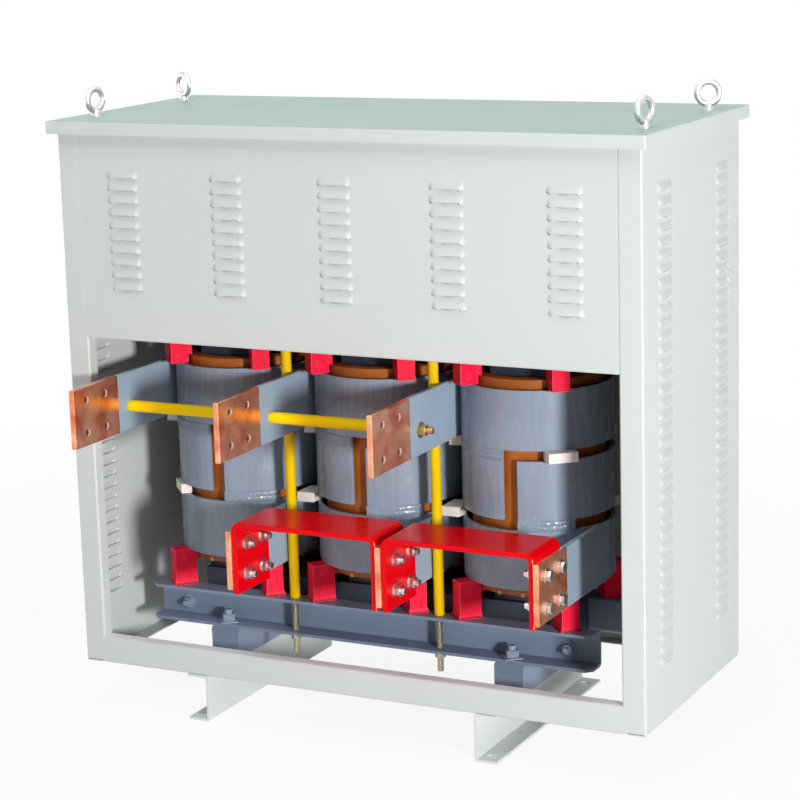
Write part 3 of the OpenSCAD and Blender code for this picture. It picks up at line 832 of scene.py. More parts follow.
def paint_tops(piece, sides, top):
    """Gives the faces that look up a finish of their own: painted light on the sill, painted shade on the
    roof.
    """
    piece.data.materials.append(sides)
    piece.data.materials.append(top)
    for face in piece.data.polygons:
        face.material_index = int(face.normal.z > 0.9)


over_post = Vector((FOLD_RADIUS, 0, 0))
sill = new_sheet("front_sill_skin", sill_low - over_post, (sill_high.x + FOLD_RADIUS, FRONT_Y, sill_high.z))
for edge_z in (sill_low.z, sill_high.z):
    fold_back(sill, edge_z, LIP, FRONT_Y)
thicken(sill, SHEET)
# The sill's top faces get the paler coat as painted light.
paint_tops(sill, cabinet_paint, sill_top_painted_light)
keep(sill, None, "cabinet_paint", "front_sill")

roof = new_block("roof_skin", roof_low, roof_high)
drop_faces(roof, lambda face, mid: near(mid.z, roof_low.z))
ease(roof, lambda edge, mid: not near(mid.z, roof_low.z), ROOF_EDGE)
thicken(roof, SHEET)
# The roof's top faces get the darker paint as painted shade.
paint_tops(roof, cabinet_paint, roof_paint)
keep(roof, None, "roof_paint", "roof")

# %% [markdown]
# A bent channel starts as a block: the open side and the ends come off, the two folds are rounded and
# the skin gets its plate's thickness. The feet and all four clamps are made that way. The feet also
# get a bolt slot near each end, cut by a stretched cylinder, and small holes further in. The clamps'
# flange corners are cut off, and their eased edges are painted paler as a painted highlight.


# %% Feet and clamps
def bent_channel(name, low, high, open_axis, open_side, run_axis, plate, radius):
    """Channel from its box, open towards one side of one axis and at both ends of another."""
    channel = new_block(name, low, high)
    open_at = (high if open_side > 0 else low)[open_axis]
    ends = (low[run_axis], high[run_axis])
    drop_faces(channel, lambda face, mid: near(mid[open_axis], open_at)
               or any(near(mid[run_axis], end) for end in ends))
    ease(channel, lambda edge, mid: len(edge.link_faces) == 2, radius, 4)
    thicken(channel, plate)
    return channel


FOOT_PLATE = 5 * MM
FOOT_BEND = 6 * MM
FOOT_EASE = 0.5 * MM
SLOT_RADIUS = 7 * MM
SLOT_RUN = 8 * MM
SLOT_X = 313.5 * MM
SLOT_Y = 227 * MM
SMALL_HOLE_RADIUS = 3.5 * MM
SMALL_HOLES = [(307.5 * MM, 92 * MM), (321 * MM, 51.5 * MM)]


def foot_drill(x, y, radius):
    return new_rod("foot_drill", (x, y, -FOOT_PLATE), (x, y, 2 * FOOT_PLATE), radius, 24)


def bolt_slot(x, y):
    cutter = foot_drill(x, y, SLOT_RADIUS)
    for side in (-1, 1):
        shift(cutter, lambda v, mid: side * (mid.x - x) > TOUCH, (side * SLOT_RUN / 2, 0, 0))
    return cutter


for node, side in (("left_foot", -1), ("right_foot", 1)):
    foot = bent_channel(node + "_skin", *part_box(node), X, side, Y, FOOT_PLATE, FOOT_BEND)
    cutters = [bolt_slot(side * SLOT_X, end * SLOT_Y) for end in (-1, 1)]
    cutters += [foot_drill(side * x, end * y, SMALL_HOLE_RADIUS) for x, y in SMALL_HOLES for end in (-1, 1)]
    for cutter in cutters:
        cut(foot, cutter)
    soften(foot, FOOT_EASE)
    keep(foot, foot_paint, "foot_paint", node)

CLAMP_PLATE = 6 * MM
CLAMP_BEND = 9 * MM
CLAMP_EASE = 0.7 * MM
FLANGE_CORNER = 14 * MM
for level in ("lower", "upper"):
    for face, side in (("front", -1), ("back", 1)):
        node = f"{level}_{face}_clamp"
        low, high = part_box(node)
        clamp = bent_channel(node + "_skin", low, high, Y, side, X, CLAMP_PLATE, CLAMP_BEND)
        tip = low.y if side < 0 else high.y
        ease(clamp, lambda edge, mid: near(mid.y, tip) and near(abs(mid.x), high.x), FLANGE_CORNER, 1)
        # The eased edges take the paler paint as a painted highlight.
        soften(clamp, CLAMP_EASE, 2, frame_paint, frame_nuts_and_edge_highlight)
        keep(clamp, None, "frame_paint", node)

# %% [markdown]
# The cross beams that carry the clamps on the feet are closed box sections with rounded corners. Their
# ends are capped a little way in, so a rim stands round each cap.

# %% Cross beams
BEAM_CORNER = 6 * MM
BEAM_EASE = 0.8 * MM
BEAM_RIM = 5 * MM
CAP_SINK = 1.5 * MM
for node in ("left_cross_beam", "right_cross_beam"):
    low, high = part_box(node)
    beam = new_block(node + "_skin", low, high)
    ease(beam, lambda edge, mid: near(mid.y, 0), BEAM_CORNER, 4)
    pick(beam, "faces", lambda face, mid: near(mid.y, low.y) or near(mid.y, high.y))
    bpy.ops.mesh.inset(thickness=BEAM_RIM, use_individual=True)
    for end in (-1, 1):
        shift(beam, lambda v, mid: near(mid.y, low.y if end < 0 else high.y)
              and abs(mid.x - (low.x + high.x) / 2) < (high.x - low.x) / 2 - BEAM_RIM / 2
              and low.z + BEAM_RIM / 2 < mid.z < high.z - BEAM_RIM / 2, (0, -end * CAP_SINK, 0))
    soften(beam, BEAM_EASE)
    keep(beam, frame_paint, "frame_paint", node)

# %% [markdown]
# The core is plain blocks of stacked sheets, and hardly any of it shows between the coils. Its solids
# stay as they are and only get the finish of stacked sheets.

# %% Core
for node in ("lower_yoke", "upper_yoke", "core_leg_a", "core_leg_b", "core_leg_c"):
    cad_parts[node].data.materials.clear()
    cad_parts[node].data.materials.append(core_steel)
print("core pieces keep their solids")

# %% [markdown]
# The lifting eyes are forged rings on a short neck with a collar that sits on the roof. They are
# screwed in until tight, so each faces another way.

# %% Lifting eyes
RING_RADIUS = 20.5 * MM
RING_WIRE = 6 * MM
COLLAR_RADIUS = 15 * MM
COLLAR_HEIGHT = 8 * MM
COLLAR_EASE = 1.5 * MM
NECK_RADIUS = 7.5 * MM
NECK_RISE = 7 * MM
NECK_FLARE = 1.6
NECK_IN_RING = 2 * MM
EYE_TURNS = {"front_left": 80, "back_left": -25, "front_right": 73, "back_right": 27}

eye_low, eye_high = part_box("lifting_eye_front_left")
ring_height = eye_high.z - RING_WIRE - RING_RADIUS
clear_selection()
bpy.ops.mesh.primitive_torus_add(major_radius=RING_RADIUS, minor_radius=RING_WIRE, major_segments=56,
                                 minor_segments=18, rotation=(math.pi / 2, 0, 0),
                                 location=(0, 0, ring_height))
ring = settle("lifting_eye")
collar = new_rod("eye_collar", (0, 0, eye_low.z), (0, 0, eye_low.z + COLLAR_HEIGHT), COLLAR_RADIUS, 40)
neck_foot = eye_low.z + NECK_RISE
neck_top = ring_height - RING_RADIUS + NECK_IN_RING
neck = new_rod("eye_neck", (0, 0, neck_foot), (0, 0, neck_top), NECK_RADIUS)
pick(neck, "verts", lambda v, mid: near(mid.z, neck_foot))
bpy.ops.transform.resize(value=(NECK_FLARE, NECK_FLARE, 1), center_override=(0, 0, neck_foot))
soften(collar, COLLAR_EASE)
eye = join([ring, collar, neck], "lifting_eye")
for corner, turn in EYE_TURNS.items():
    low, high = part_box("lifting_eye_" + corner)
    spot = Matrix.Translation(((low.x + high.x) / 2, (low.y + high.y) / 2, 0))
    turned = copy_of(eye, f"eye_{corner}", spot @ Matrix.Rotation(math.radians(turn), 4, "Z"))
    keep(turned, zinc, "zinc", "lifting_eye_" + corner)
bpy.data.objects.remove(eye)

# %% [markdown]
# The inner winding is a thick tube of wire layers. Its profile is drawn as a flat sheet whose two ends
# step from layer to layer, and the outline is then spun round the leg, so the layers show as rings on
# the rims.

# %% Inner windings
LAYERS = 6
LAYER_STEP = 1.6 * MM
SPIN_STEPS = 72
FULL_TURN = 2 * math.pi
inner_low, inner_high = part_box("inner_winding_b")
COIL_PITCH = sum(v.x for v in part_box("inner_winding_c")) / 2
COIL_X = {"a": -COIL_PITCH, "b": 0, "c": COIL_PITCH}
INNER_R = inner_high.x
INNER_BORE = 104 * MM


def upright_turn(angle):
    """Turn about the upright axis, in degrees."""
    return Matrix.Rotation(math.radians(angle), 4, "Z")


def at_coil(x, angle=0, z=0):
    """Takes a piece from the front of a coil at the origin to an angle to the right, on the coil at x."""
    return Matrix.Translation((x, 0, z)) @ upright_turn(angle)


def wind_all(master, stem, finish, slot):
    """Copies a winding to every coil."""
    for letter, x in COIL_X.items():
        keep(copy_of(master, f"{stem}_{letter}_skin", at_coil(x)), finish, slot, f"{stem}_{letter}")
    bpy.data.objects.remove(master)


def spun_tube(name):
    tube = new_sheet(name, (INNER_BORE, 0, inner_low.z), (INNER_R, 0, inner_high.z))
    wall = INNER_R - INNER_BORE
    for layer in range(1, 2 * LAYERS):
        score(tube, (INNER_BORE + wall * layer / (2 * LAYERS), 0, 0), (1, 0, 0))
    for layer in range(1, LAYERS):
        groove = INNER_BORE + wall * layer / LAYERS
        for end, dip in ((inner_low.z, LAYER_STEP), (inner_high.z, -LAYER_STEP)):
            shift(tube, lambda v, mid: near(mid.x, groove) and near(mid.z, end), (0, 0, dip))
    pick(tube, "edges", lambda edge, mid: len(edge.link_faces) == 1)
    bpy.ops.mesh.spin(steps=SPIN_STEPS, angle=FULL_TURN, center=(0, 0, 0), axis=(0, 0, 1))
    drop_faces(tube, lambda face, mid: abs(face.normal.y) > 0.99 and near(mid.y, 0) and mid.x > INNER_BORE)
    pick(tube, "verts", lambda v, mid: True)
    bpy.ops.mesh.remove_doubles(threshold=0.01 * MM)
    bpy.ops.mesh.normals_make_consistent(inside=False)
    return tube


wind_all(spun_tube("inner_winding"), "inner_winding", winding_varnish, "varnish")

# %% [markdown]
# Short tape ties are knotted round the lower rim, so that the layers do not slip down while the varnish
# is still wet. One is modelled as a soft band and copied round each winding.

# %% Tape ties
TIE_ANGLES = [-13, 9, 77, 99, 167, 189, 257, 279]
TIE_PROUD = 1.5 * MM
TIE_HEIGHT = 7 * MM
TIE_HALF = 4 * MM
TIE_EASE = 1.2 * MM
tie = new_block("tie", (-TIE_HALF, -INNER_R - TIE_PROUD, inner_low.z - TIE_PROUD),
                (TIE_HALF, -INNER_BORE + TIE_PROUD, inner_low.z + TIE_HEIGHT))
soften(tie, TIE_EASE, 3)
tie_places = [at_coil(x, angle) for x in COIL_X.values() for angle in TIE_ANGLES]
keep(copies_at(tie, "winding_ties", tie_places), tie_tape, "white_spacer")

# %% [markdown]
# The outer winding is one wide copper strip bent into three turns. Where it passes from one turn to
# the next it is cut across and welded: the upper joint lies left of the slit and the lower one right of
# it. An open cylinder is scored at the turns' edges, the slit and the gaps are deleted from it, and the
# skin that is left gets the strip's thickness.

# %% Outer windings
STRIP = 8 * MM
STRIP_EASE = 1.4 * MM
STRIP_HEIGHT = 115 * MM
TURN_GAP = 19 * MM
COIL_SIDES = 126
STEP = 360 / COIL_SIDES
SLIT_LEFT = -3.7
SLIT_STEPS = 4
SLIT_RIGHT = SLIT_LEFT + SLIT_STEPS * STEP
LOW_JOINT = 15 * STEP
HIGH_JOINT = 20 * STEP
coil_low, coil_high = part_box("outer_winding_b")
COIL_R = coil_high.x
TURN_BOTTOMS = [coil_low.z + turn * (STRIP_HEIGHT + TURN_GAP) for turn in range(3)]
LOW_GAP = (TURN_BOTTOMS[1] - TURN_GAP, TURN_BOTTOMS[1])
HIGH_GAP = (TURN_BOTTOMS[2] - TURN_GAP, TURN_BOTTOMS[2])


def front_angle(mid):
    """Angle in degrees from the coil's front towards the right."""
    return math.degrees(math.atan2(mid.x, -mid.y))


def open_here(face, mid):
    """True on the parts of the cylinder that the strip leaves open."""
    angle = front_angle(mid)
    if LOW_GAP[0] < mid.z < LOW_GAP[1]:
        return not SLIT_RIGHT < angle < SLIT_RIGHT + LOW_JOINT
    if HIGH_GAP[0] < mid.z < HIGH_GAP[1]:
        return not SLIT_LEFT - HIGH_JOINT < angle < SLIT_LEFT
    return LOW_GAP[1] < mid.z < HIGH_GAP[0] and SLIT_LEFT < angle < SLIT_RIGHT


strip_coil = new_rod("strip_coil", (0, 0, coil_low.z), (0, 0, coil_high.z), COIL_R, COIL_SIDES, "NOTHING")
take(strip_coil)
strip_coil.rotation_euler.z = math.radians((SLIT_LEFT - 180) % STEP)
bpy.ops.object.transform_apply(rotation=True)
for height in (*LOW_GAP, *HIGH_GAP):
    score(strip_coil, (0, 0, height), (0, 0, 1))
drop_faces(strip_coil, open_here)
thicken(strip_coil, STRIP)
soften(strip_coil, STRIP_EASE)
wind_all(strip_coil, "outer_winding", strip_paint, "strip_paint")

# %% [markdown]
# The joints are welded across the strip and painted over without much grinding. A flattened circle is
# spun along each joint and its points are jostled, which leaves the lumpy bead. The upper joints are
# ground flatter than the lower ones.

# %% Welds
BEAD_HALF_HEIGHT = 6.5 * MM
LOW_BEAD_OUT = 2.8 * MM
HIGH_BEAD_OUT = 1.8 * MM
BEAD_SIDES = 14
BEAD_STEPS = 1.4
BEAD_HEIGHTS = (0.28, 0.75)


def weld_bead(name, angle, run, height, out, seed):
    """Bead that starts at an angle of the coil and runs to the right, all in degrees."""
    clear_selection()
    bpy.ops.mesh.primitive_circle_add(vertices=BEAD_SIDES, radius=BEAD_HALF_HEIGHT,
                                      rotation=(0, math.pi / 2, 0), location=(0, -COIL_R, height))
    bpy.context.object.scale.y = out / BEAD_HALF_HEIGHT
    bead = settle(name)
    pick(bead, "verts", lambda v, mid: True)
    bpy.ops.transform.rotate(value=-math.radians(angle), orient_axis="Z", center_override=(0, 0, 0))
    pick(bead, "edges", lambda edge, mid: True)
    bpy.ops.mesh.spin(steps=round(run * BEAD_STEPS), angle=-math.radians(run), center=(0, 0, 0),
                      axis=(0, 0, 1))
    pick(bead, "verts", lambda v, mid: True)
    bpy.ops.transform.vertex_random(offset=out / 2, seed=seed)
    bpy.ops.mesh.normals_make_consistent(inside=False)
    finish_with(bead, "SUBSURF", levels=1)
    return bead


beads = []
joints = [(SLIT_RIGHT, LOW_JOINT, LOW_GAP, LOW_BEAD_OUT),
          (SLIT_LEFT - HIGH_JOINT, HIGH_JOINT, HIGH_GAP, HIGH_BEAD_OUT)]
for x in COIL_X.values():
    for angle, run, gap, out in joints:
        for share in BEAD_HEIGHTS:
            bead = weld_bead("bead", angle, run, gap[0] + share * TURN_GAP, out, len(beads) + 1)
            bead.data.transform(at_coil(x))
            beads.append(bead)
bead_angles = [front_angle(v.co + Vector((COIL_PITCH, 0, 0))) for v in beads[0].data.vertices]
print("first bead from", round(min(bead_angles), 1), "to", round(max(bead_angles), 1), "degrees")
keep(join(beads, "joint_welds"), weld_paint, "strip_paint")

# %% [markdown]
# The line terminals are bars that run off the coil along its left side, and the star terminals run off
# along the right. A bar is a block that reaches back into the strip, with filed edges. The line bars
# have four holes for the customer's cables. The holes' walls carry their own finish of painted highlight
# and painted shade, and the holes' rims are chamfered, so each catches a spark of light.

# %% Terminals
BAR_BACK = -4 * MM
LINE_FILED = 3 * MM
STAR_FILED = 2 * MM
HOLE_RIM = 1.1 * MM
HOLE_RADIUS = 7.5 * MM
HOLE_PITCH = 64 * MM
PAD_MIDDLE = (-349 * MM, 631.5 * MM)


def terminal_bar(node, filed):
    low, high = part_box(node)
    bar = new_block(node + "_skin", low, (high.x, BAR_BACK, high.z))
    ease(bar, lambda edge, mid: near(mid.y, low.y) or (near(mid.x, low.x) or near(mid.x, high.x))
         and not near(mid.y, BAR_BACK), filed)
    return bar


def cable_holes(bar, low, high):
    for y in (-1, 1):
        for z in (-1, 1):
            hole_y = PAD_MIDDLE[0] + y * HOLE_PITCH / 2
            hole_z = PAD_MIDDLE[1] + z * HOLE_PITCH / 2
            drill = new_rod("drill", (low.x - STRIP, hole_y, hole_z), (high.x + STRIP, hole_y, hole_z),
                            HOLE_RADIUS)
            # The hole walls take the finish of painted highlight and painted shade.
            drill.data.materials.append(hole_copper)
            cut(bar, drill, material_mode="TRANSFER")


for letter in COIL_X:
    line_node = f"line_terminal_{letter}"
    line_bar = terminal_bar(line_node, LINE_FILED)
    line_bar.data.materials.append(line_copper)
    cable_holes(line_bar, *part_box(line_node))
    soften(line_bar, HOLE_RIM)
    keep(line_bar, None, "copper", line_node)
    star_node = f"star_terminal_{letter}"
    keep(terminal_bar(star_node, STAR_FILED), star_copper, "copper", star_node)

# %% [markdown]
# The star bridges join the three star terminals. Each is a thick strip bent down at both ends and
# dipped in red coating, so its edges are round. Along the right edge of the right leg a pale peach
# line is painted on as a painted highlight.

# %% Star bridges
BRIDGE_PLATE = 10 * MM
BRIDGE_BEND = 16 * MM
BRIDGE_EASE = 1.8 * MM
for node in ("star_bridge_ab", "star_bridge_bc"):
    bridge = bent_channel(node + "_skin", *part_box(node), Z, -1, Y, BRIDGE_PLATE, BRIDGE_BEND)
    soften(bridge, BRIDGE_EASE, 3)
    bridge.data.materials.append(bridge_paint)
    bridge.data.materials.append(bridge_edge_highlight)
    keep(bridge, None, "red_paint", node)
    right_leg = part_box(node)[1].x - BRIDGE_PLATE / 2
    # The rounded front-right edge faces of the right leg get the painted highlight.
    for face in bridge.data.polygons:
        highlight_edge = face.normal.x > 0.3 and face.normal.y < -0.3 and abs(face.normal.z) < 0.2
        face.material_index = int(highlight_edge and face.center.x > right_leg)

# %% [markdown]
# Two yellow rods keep the line terminals apart. The tie rods that pull the clamps together wear yellow
# sleeves between the clamps, and their threaded ends show above and below.

# %% Rods and sleeves
ROD_EASE = 1.2 * MM
TIE_X = 158 * MM
TIE_Y = 123.5 * MM
TIE_RADIUS = 6 * MM
SLEEVE_RADIUS = 10 * MM
SLEEVE_WALL = 3.5 * MM
SPACER_Y = -232 * MM
SPACER_Z = 622 * MM
SPACER_RADIUS = 11 * MM


def rods_of(name, nodes, spots, radius, axis, sides, finish, slot, wall=0):
    """Round pieces along one axis, one through every spot in each node, hollow where a wall is given."""
    made = []
    for node in nodes:
        low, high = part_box(node)
        for spot in spots:
            start, end = Vector(spot), Vector(spot)
            start[axis], end[axis] = low[axis], high[axis]
            rod = new_rod(name, start, end, radius, sides, "NOTHING" if wall else "NGON")
            if wall:
                thicken(rod, wall)
            soften(rod, ROD_EASE)
            made.append(rod)
    keep(join(made, name), finish, slot, *nodes)


tie_spots = [(x, y, 0) for x in (-TIE_X, TIE_X) for y in (-TIE_Y, TIE_Y)]
rods_of("spacer_rods", ["terminal_spacer_rod_ab", "terminal_spacer_rod_bc"], [(0, SPACER_Y, SPACER_Z)],
        SPACER_RADIUS, X, 40, rod_yellow, "yellow_sleeve")
rods_of("clamp_tie_rods", ["tie_rods"], tie_spots, TIE_RADIUS, Z, 24, rod_thread, "zinc")
rods_of("clamp_sleeves", ["tie_rod_sleeves"], tie_spots, SLEEVE_RADIUS, Z, 36, sleeve_yellow,
        "yellow_sleeve", SLEEVE_WALL)

# %% [markdown]
# Red moulded blocks carry the coils on the clamps and press on them from above. Each points out from its
# coil's axis. It is a column on a flared foot, with two round ejector marks in a paler red on each broad
# side. Its eased edges take the same paler red as a painted highlight, and the lowest band of the foot is
# painted darker as painted shade. The lower ones have a small ledge under the inner winding. The upper
# ones are the same kind turned over and reach a little way over the winding's rim.

# %% Support blocks
BLOCK_HALF = 17 * MM
BLOCK_INNER = INNER_R + 3 * MM
FOOT_EDGE = 5 * MM
FOOT_RISE = 11 * MM
FOOT_FLARE = 3 * MM
LOWER_LEDGE = Vector((8 * MM, 20 * MM, 8 * MM))
UPPER_LEDGE = Vector((BLOCK_HALF - 0.3 * MM, 8 * MM, 40 * MM))
PIN_RADIUS = 5 * MM
PIN_PROUD = 0.5 * MM
PIN_SINK = 0.7 * MM
PIN_RING = 1 * MM
PIN_PLACE = 0.42
PIN_HEIGHTS = (0.24, 0.78)
BLOCK_EASE = 0.9 * MM
LEDGE_IN_BLOCK = 2 * MM
clamp_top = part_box("lower_front_clamp")[1].z


def ejector_mark(side, y, height):
    """Small ring with a sunk middle on one broad side of a block."""
    inner = side * (BLOCK_HALF - PIN_PROUD)
    outer = side * (BLOCK_HALF + PIN_PROUD)
    mark = new_rod("mark", (inner, y, height), (outer, y, height), PIN_RADIUS, 24)
    pick(mark, "faces", lambda face, mid: near(mid.x, outer))
    bpy.ops.mesh.inset(thickness=PIN_RING)
    bpy.ops.transform.translate(value=(-side * PIN_SINK, 0, 0))
    mark.data.materials.append(block_marks_and_highlight)
    return mark


def support_block(out, height, winding_rise, ledge_size):
    """Block at the front of a coil, standing on z = 0, with a ledge below the winding's rise."""
    front = -COIL_R - out
    column = new_block("block", (-BLOCK_HALF, front, 0), (BLOCK_HALF, -BLOCK_INNER, height))
    for level in (FOOT_EDGE, FOOT_RISE):
        score(column, (0, 0, level), (0, 0, 1))
    flare_top = (FOOT_EDGE + FOOT_RISE) / 2
    for side in (-1, 1):
        shift(column, lambda v, mid: mid.z < flare_top and side * mid.x > 0, (side * FOOT_FLARE, 0, 0))
    shift(column, lambda v, mid: mid.z < flare_top and near(mid.y, front), (0, -FOOT_FLARE, 0))
    # The eased edges take the paler red as a painted highlight.
    soften(column, BLOCK_EASE, 2, block_red, block_marks_and_highlight)
    # The lowest band of the foot is painted darker, as painted shade.
    column.data.materials.append(block_foot_shade)
    for face in column.data.polygons:
        if face.center.z < FOOT_EDGE and face.material_index == 0:
            face.material_index = 2
    ledge = new_block("ledge", (-ledge_size.x, -BLOCK_INNER - LEDGE_IN_BLOCK, winding_rise - ledge_size.z),
                      (ledge_size.x, -BLOCK_INNER + ledge_size.y, winding_rise))
    soften(ledge, BLOCK_EASE)
    ledge.data.materials.append(block_red)
    mark_y = front + PIN_PLACE * (-BLOCK_INNER - front)
    marks = [ejector_mark(side, mark_y, share * height) for side in (-1, 1) for share in PIN_HEIGHTS]
    return join([column, ledge, *marks], "block")


def block_row(name, node, angle, out, turned):
    """All blocks of one level: two at the front and two at the back of each coil."""
    low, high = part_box(node)
    height = high.z - low.z
    block = support_block(out, height, inner_low.z - clamp_top, UPPER_LEDGE if turned else LOWER_LEDGE)
    flip = Matrix.Translation((0, 0, height)) @ Matrix.Scale(-1, 4, (0, 0, 1)) if turned else Matrix()
    turns = (angle, -angle, 180 - angle, 180 + angle)
    spots = [at_coil(x, turn, low.z) @ flip for x in COIL_X.values() for turn in turns]
    keep(copies_at(block, name, spots), None, "red_block", node)


block_row("lower_blocks", "lower_support_blocks", angle=42, out=30 * MM, turned=False)
block_row("upper_blocks", "upper_support_blocks", angle=39, out=22 * MM, turned=True)

# %% [markdown]
# Pale boards are pushed into the gaps between the turns to keep them apart. Most of them point out
# from the coil. At the left of the second and third coil one lies along the row, and the first coil's
# stands out less.

# %% Turn spacers
BOARD_HALF = 28.5 * MM
BOARD_OUT = 21 * MM
SHORT_OUT = 7 * MM
BOARD_INNER = INNER_R + 3 * MM
BOARD_EASE = 0.8 * MM
SHORT_BOARD = -48
LOW_BOARDS = [140, -140]
HIGH_BOARDS = [40, -76, 150, -150]
ROW_BOARD = ((-163 * MM, -92 * MM), (-126.2 * MM, -35 * MM))


def gap_board(low, high, gap):
    board = new_block("board", (*low, gap[0]), (*high, gap[1]))
    soften(board, BOARD_EASE)
    return board


def turn_board(out, gap):
    """Board at the front of a coil that stands out past the strip."""
    return gap_board((-BOARD_HALF, -COIL_R - out), (BOARD_HALF, -BOARD_INNER), gap)


kinds = [(turn_board(SHORT_OUT, LOW_GAP), [at_coil(COIL_X["a"], SHORT_BOARD)]),
         (gap_board(*ROW_BOARD, LOW_GAP), [at_coil(COIL_X["b"]), at_coil(COIL_X["c"])])]
for gap, angles in ((LOW_GAP, LOW_BOARDS), (HIGH_GAP, HIGH_BOARDS)):
    spots = [at_coil(x, angle) for x in COIL_X.values() for angle in angles]
    kinds.append((turn_board(BOARD_OUT, gap), spots))
boards = [copies_at(board, "turn_board", spots) for board, spots in kinds]
print("boards:", sum(len(spots) for _, spots in kinds))
keep(join(boards, "board_spacers"), spacer_board, "white_spacer", "turn_spacers")

# %% [markdown]
# The fasteners are modelled once, standing on the floor of their own small frame, and copied to their
# places: a hexagon head, and a nut on its washer with the stud's end standing out of it.

# %% Fastener shapes
NUT_WASHER = 2.5 * MM
HEAD_WASHER = 2 * MM
NUT_SHARE = 0.85
WASHER_EASE = 0.5 * MM
HEXAGON_EASE = 1.1 * MM
STUD_EASE = 1.2 * MM


def hexagon(name, low, high, flats):
    """Hexagon bar with its top corners turned off."""
    bar = new_rod(name, (0, 0, low), (0, 0, high), flats / math.sqrt(3), 6)
    soften(bar, HEXAGON_EASE)
    return bar


def stud_nut(name, washer_radius, flats, stud_radius, stud_out, square=False):
    """Washer, nut and stud end along +Z."""
    nut_top = NUT_WASHER + NUT_SHARE * 2 * stud_radius
    if square:
        washer = new_block("washer", (-washer_radius, -washer_radius, 0),
                           (washer_radius, washer_radius, NUT_WASHER))
    else:
        washer = new_rod("washer", (0, 0, 0), (0, 0, NUT_WASHER), washer_radius, 36)
    soften(washer, WASHER_EASE)
    stud = new_rod("stud", (0, 0, 0), (0, 0, nut_top + stud_out), stud_radius, 24)
    soften(stud, STUD_EASE)
    return join([washer, hexagon("nut", NUT_WASHER, nut_top, flats), stud], name)


def bolt_head(name, washer_radius, flats, height):
    """Washer and head along +Z."""
    washer = new_rod("washer", (0, 0, 0), (0, 0, HEAD_WASHER), washer_radius, 36)
    soften(washer, WASHER_EASE)
    return join([washer, hexagon("head", HEAD_WASHER, HEAD_WASHER + height, flats)], name)


def facing(place, direction, twist=0):
    """Matrix that stands a fastener on a place, pointing in a direction."""
    turn = Vector(direction).to_track_quat("Z", "Y").to_matrix().to_4x4()
    return Matrix.Translation(place) @ turn @ upright_turn(twist)


def fasten(name, shape, spots, finish, slot):
    """Copies one fastener to all its spots and joins the copies."""
    keep(copies_at(shape, name, [facing(*spot) for spot in spots]), finish, slot)


print("fasteners: stud nut, bolt head")

# %% [markdown]
# Four bolts hold each end of a bridge to its terminal. Their nuts show inside the bridges. Their heads
# lie on the free faces of the outer bars and, for the middle bar, inside the first bridge.

# %% Bridge bolts
BOLT_Y = -272 * MM
BOLT_Z = 362 * MM
BOLT_SPREAD = 30 * MM
NUT_TWIST = 17
HEAD_TWIST = 23
LEFTWARD = (-1, 0, 0)
RIGHTWARD = (1, 0, 0)
bolt_grid = [(BOLT_Y + y * BOLT_SPREAD, BOLT_Z + z * BOLT_SPREAD) for y in (-1, 1) for z in (-1, 1)]
ab_low, ab_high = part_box("star_bridge_ab")
bc_low, bc_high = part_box("star_bridge_bc")
nut_faces = [(ab_low.x + BRIDGE_PLATE, RIGHTWARD), (bc_low.x + BRIDGE_PLATE, RIGHTWARD),
             (bc_high.x - BRIDGE_PLATE, LEFTWARD)]
head_faces = [(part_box("star_terminal_a")[0].x, LEFTWARD), (ab_high.x - BRIDGE_PLATE, LEFTWARD),
              (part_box("star_terminal_c")[1].x, RIGHTWARD)]
fasten("bridge_nuts",
       stud_nut("bridge_nut", washer_radius=14 * MM, flats=20 * MM, stud_radius=6.5 * MM, stud_out=8 * MM),
       [((x, *spot), way, NUT_TWIST * index)
        for x, way in nut_faces for index, spot in enumerate(bolt_grid)], zinc, "zinc")
fasten("bridge_heads", bolt_head("bridge_head", washer_radius=14 * MM, flats=20 * MM, height=8 * MM),
       [((x, *spot), way, HEAD_TWIST * index)
        for x, way in head_faces for index, spot in enumerate(bolt_grid)], zinc, "zinc")

# %% [markdown]
# The two spacer rods are held by one stud through the terminals, with a head at the left end and a nut
# at the right end.

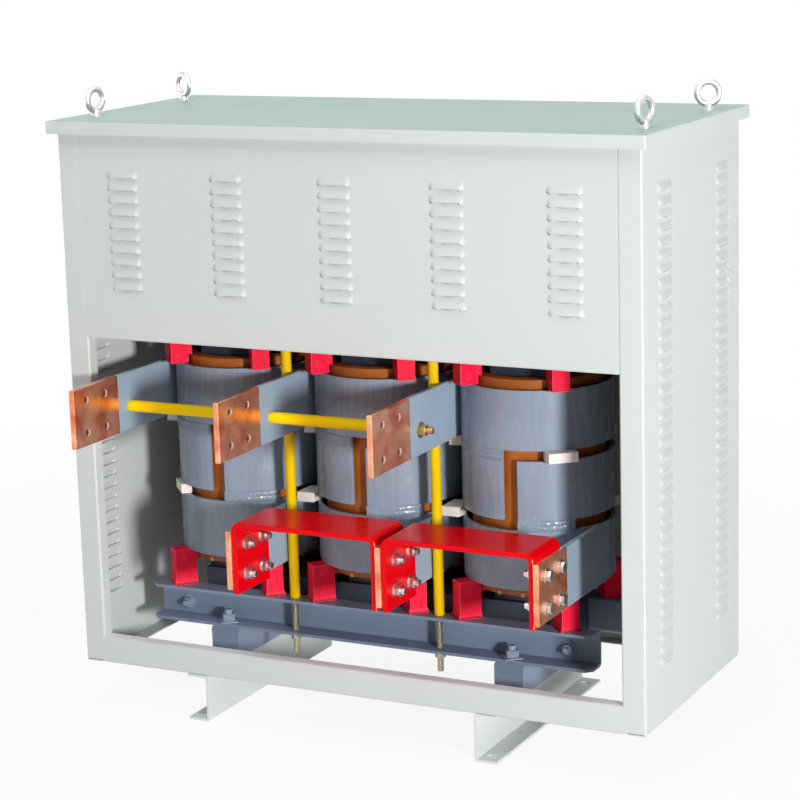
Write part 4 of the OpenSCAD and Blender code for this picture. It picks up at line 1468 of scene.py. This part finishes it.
# %% Spacer rod ends
SPACER_TWIST = 10
line_a_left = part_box("line_terminal_a")[0].x
line_c_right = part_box("line_terminal_c")[1].x
fasten("spacer_nuts",
       stud_nut("spacer_nut", washer_radius=15 * MM, flats=20 * MM, stud_radius=6.5 * MM, stud_out=13 * MM),
       [((line_c_right, SPACER_Y, SPACER_Z), RIGHTWARD, SPACER_TWIST)], yellow_zinc, "zinc")
fasten("spacer_heads", bolt_head("spacer_head", washer_radius=15 * MM, flats=20 * MM, height=8 * MM),
       [((line_a_left, SPACER_Y, SPACER_Z), LEFTWARD, 0)], yellow_zinc, "zinc")

# %% [markdown]
# The clamps are pulled against the core by studs near their ends, bolted down to the cross beams through
# square washers, and pulled together by the tie rods. The first two kinds were painted along with
# the clamps.

# %% Clamp fasteners
THROUGH_X = 417 * MM
THROUGH_TWIST = 12
BEAM_TWIST = 40
TIE_TWIST = 8
LOWER_THROUGH_Z = 190 * MM
BEAM_BOLT_X = 311 * MM
BEAM_BOLT_Y = 128 * MM
clamp_low, clamp_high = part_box("lower_front_clamp")
top_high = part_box("upper_front_clamp")[1]
upper_through_z = top_high.z - (LOWER_THROUGH_Z - clamp_low.z)
web_y = -clamp_high.y + CLAMP_PLATE
through_spots = [((x, side * web_y, z), (0, side, 0), THROUGH_TWIST) for x in (-THROUGH_X, THROUGH_X)
                 for side in (-1, 1) for z in (LOWER_THROUGH_Z, upper_through_z)]
fasten("clamp_through_nuts",
       stud_nut("through_nut", washer_radius=15 * MM, flats=19 * MM, stud_radius=6 * MM, stud_out=7 * MM),
       through_spots, frame_nuts_and_edge_highlight, "frame_paint")
beam_spots = [((x, side * BEAM_BOLT_Y, clamp_low.z + CLAMP_PLATE), (0, 0, 1), BEAM_TWIST)
              for x in (-BEAM_BOLT_X, BEAM_BOLT_X) for side in (-1, 1)]
fasten("beam_bolt_nuts",
       stud_nut("beam_nut", washer_radius=17 * MM, flats=24 * MM, stud_radius=8 * MM, stud_out=9 * MM,
                square=True),
       beam_spots, frame_nuts_and_edge_highlight, "frame_paint")
tie_nut_spots = [((x, y, z), (0, 0, way), TIE_TWIST) for x, y, _ in tie_spots
                 for z, way in ((clamp_low.z, -1), (top_high.z, 1))]
fasten("tie_rod_nuts",
       stud_nut("tie_nut", washer_radius=12 * MM, flats=19 * MM, stud_radius=TIE_RADIUS, stud_out=6 * MM),
       tie_nut_spots, rod_thread, "zinc")
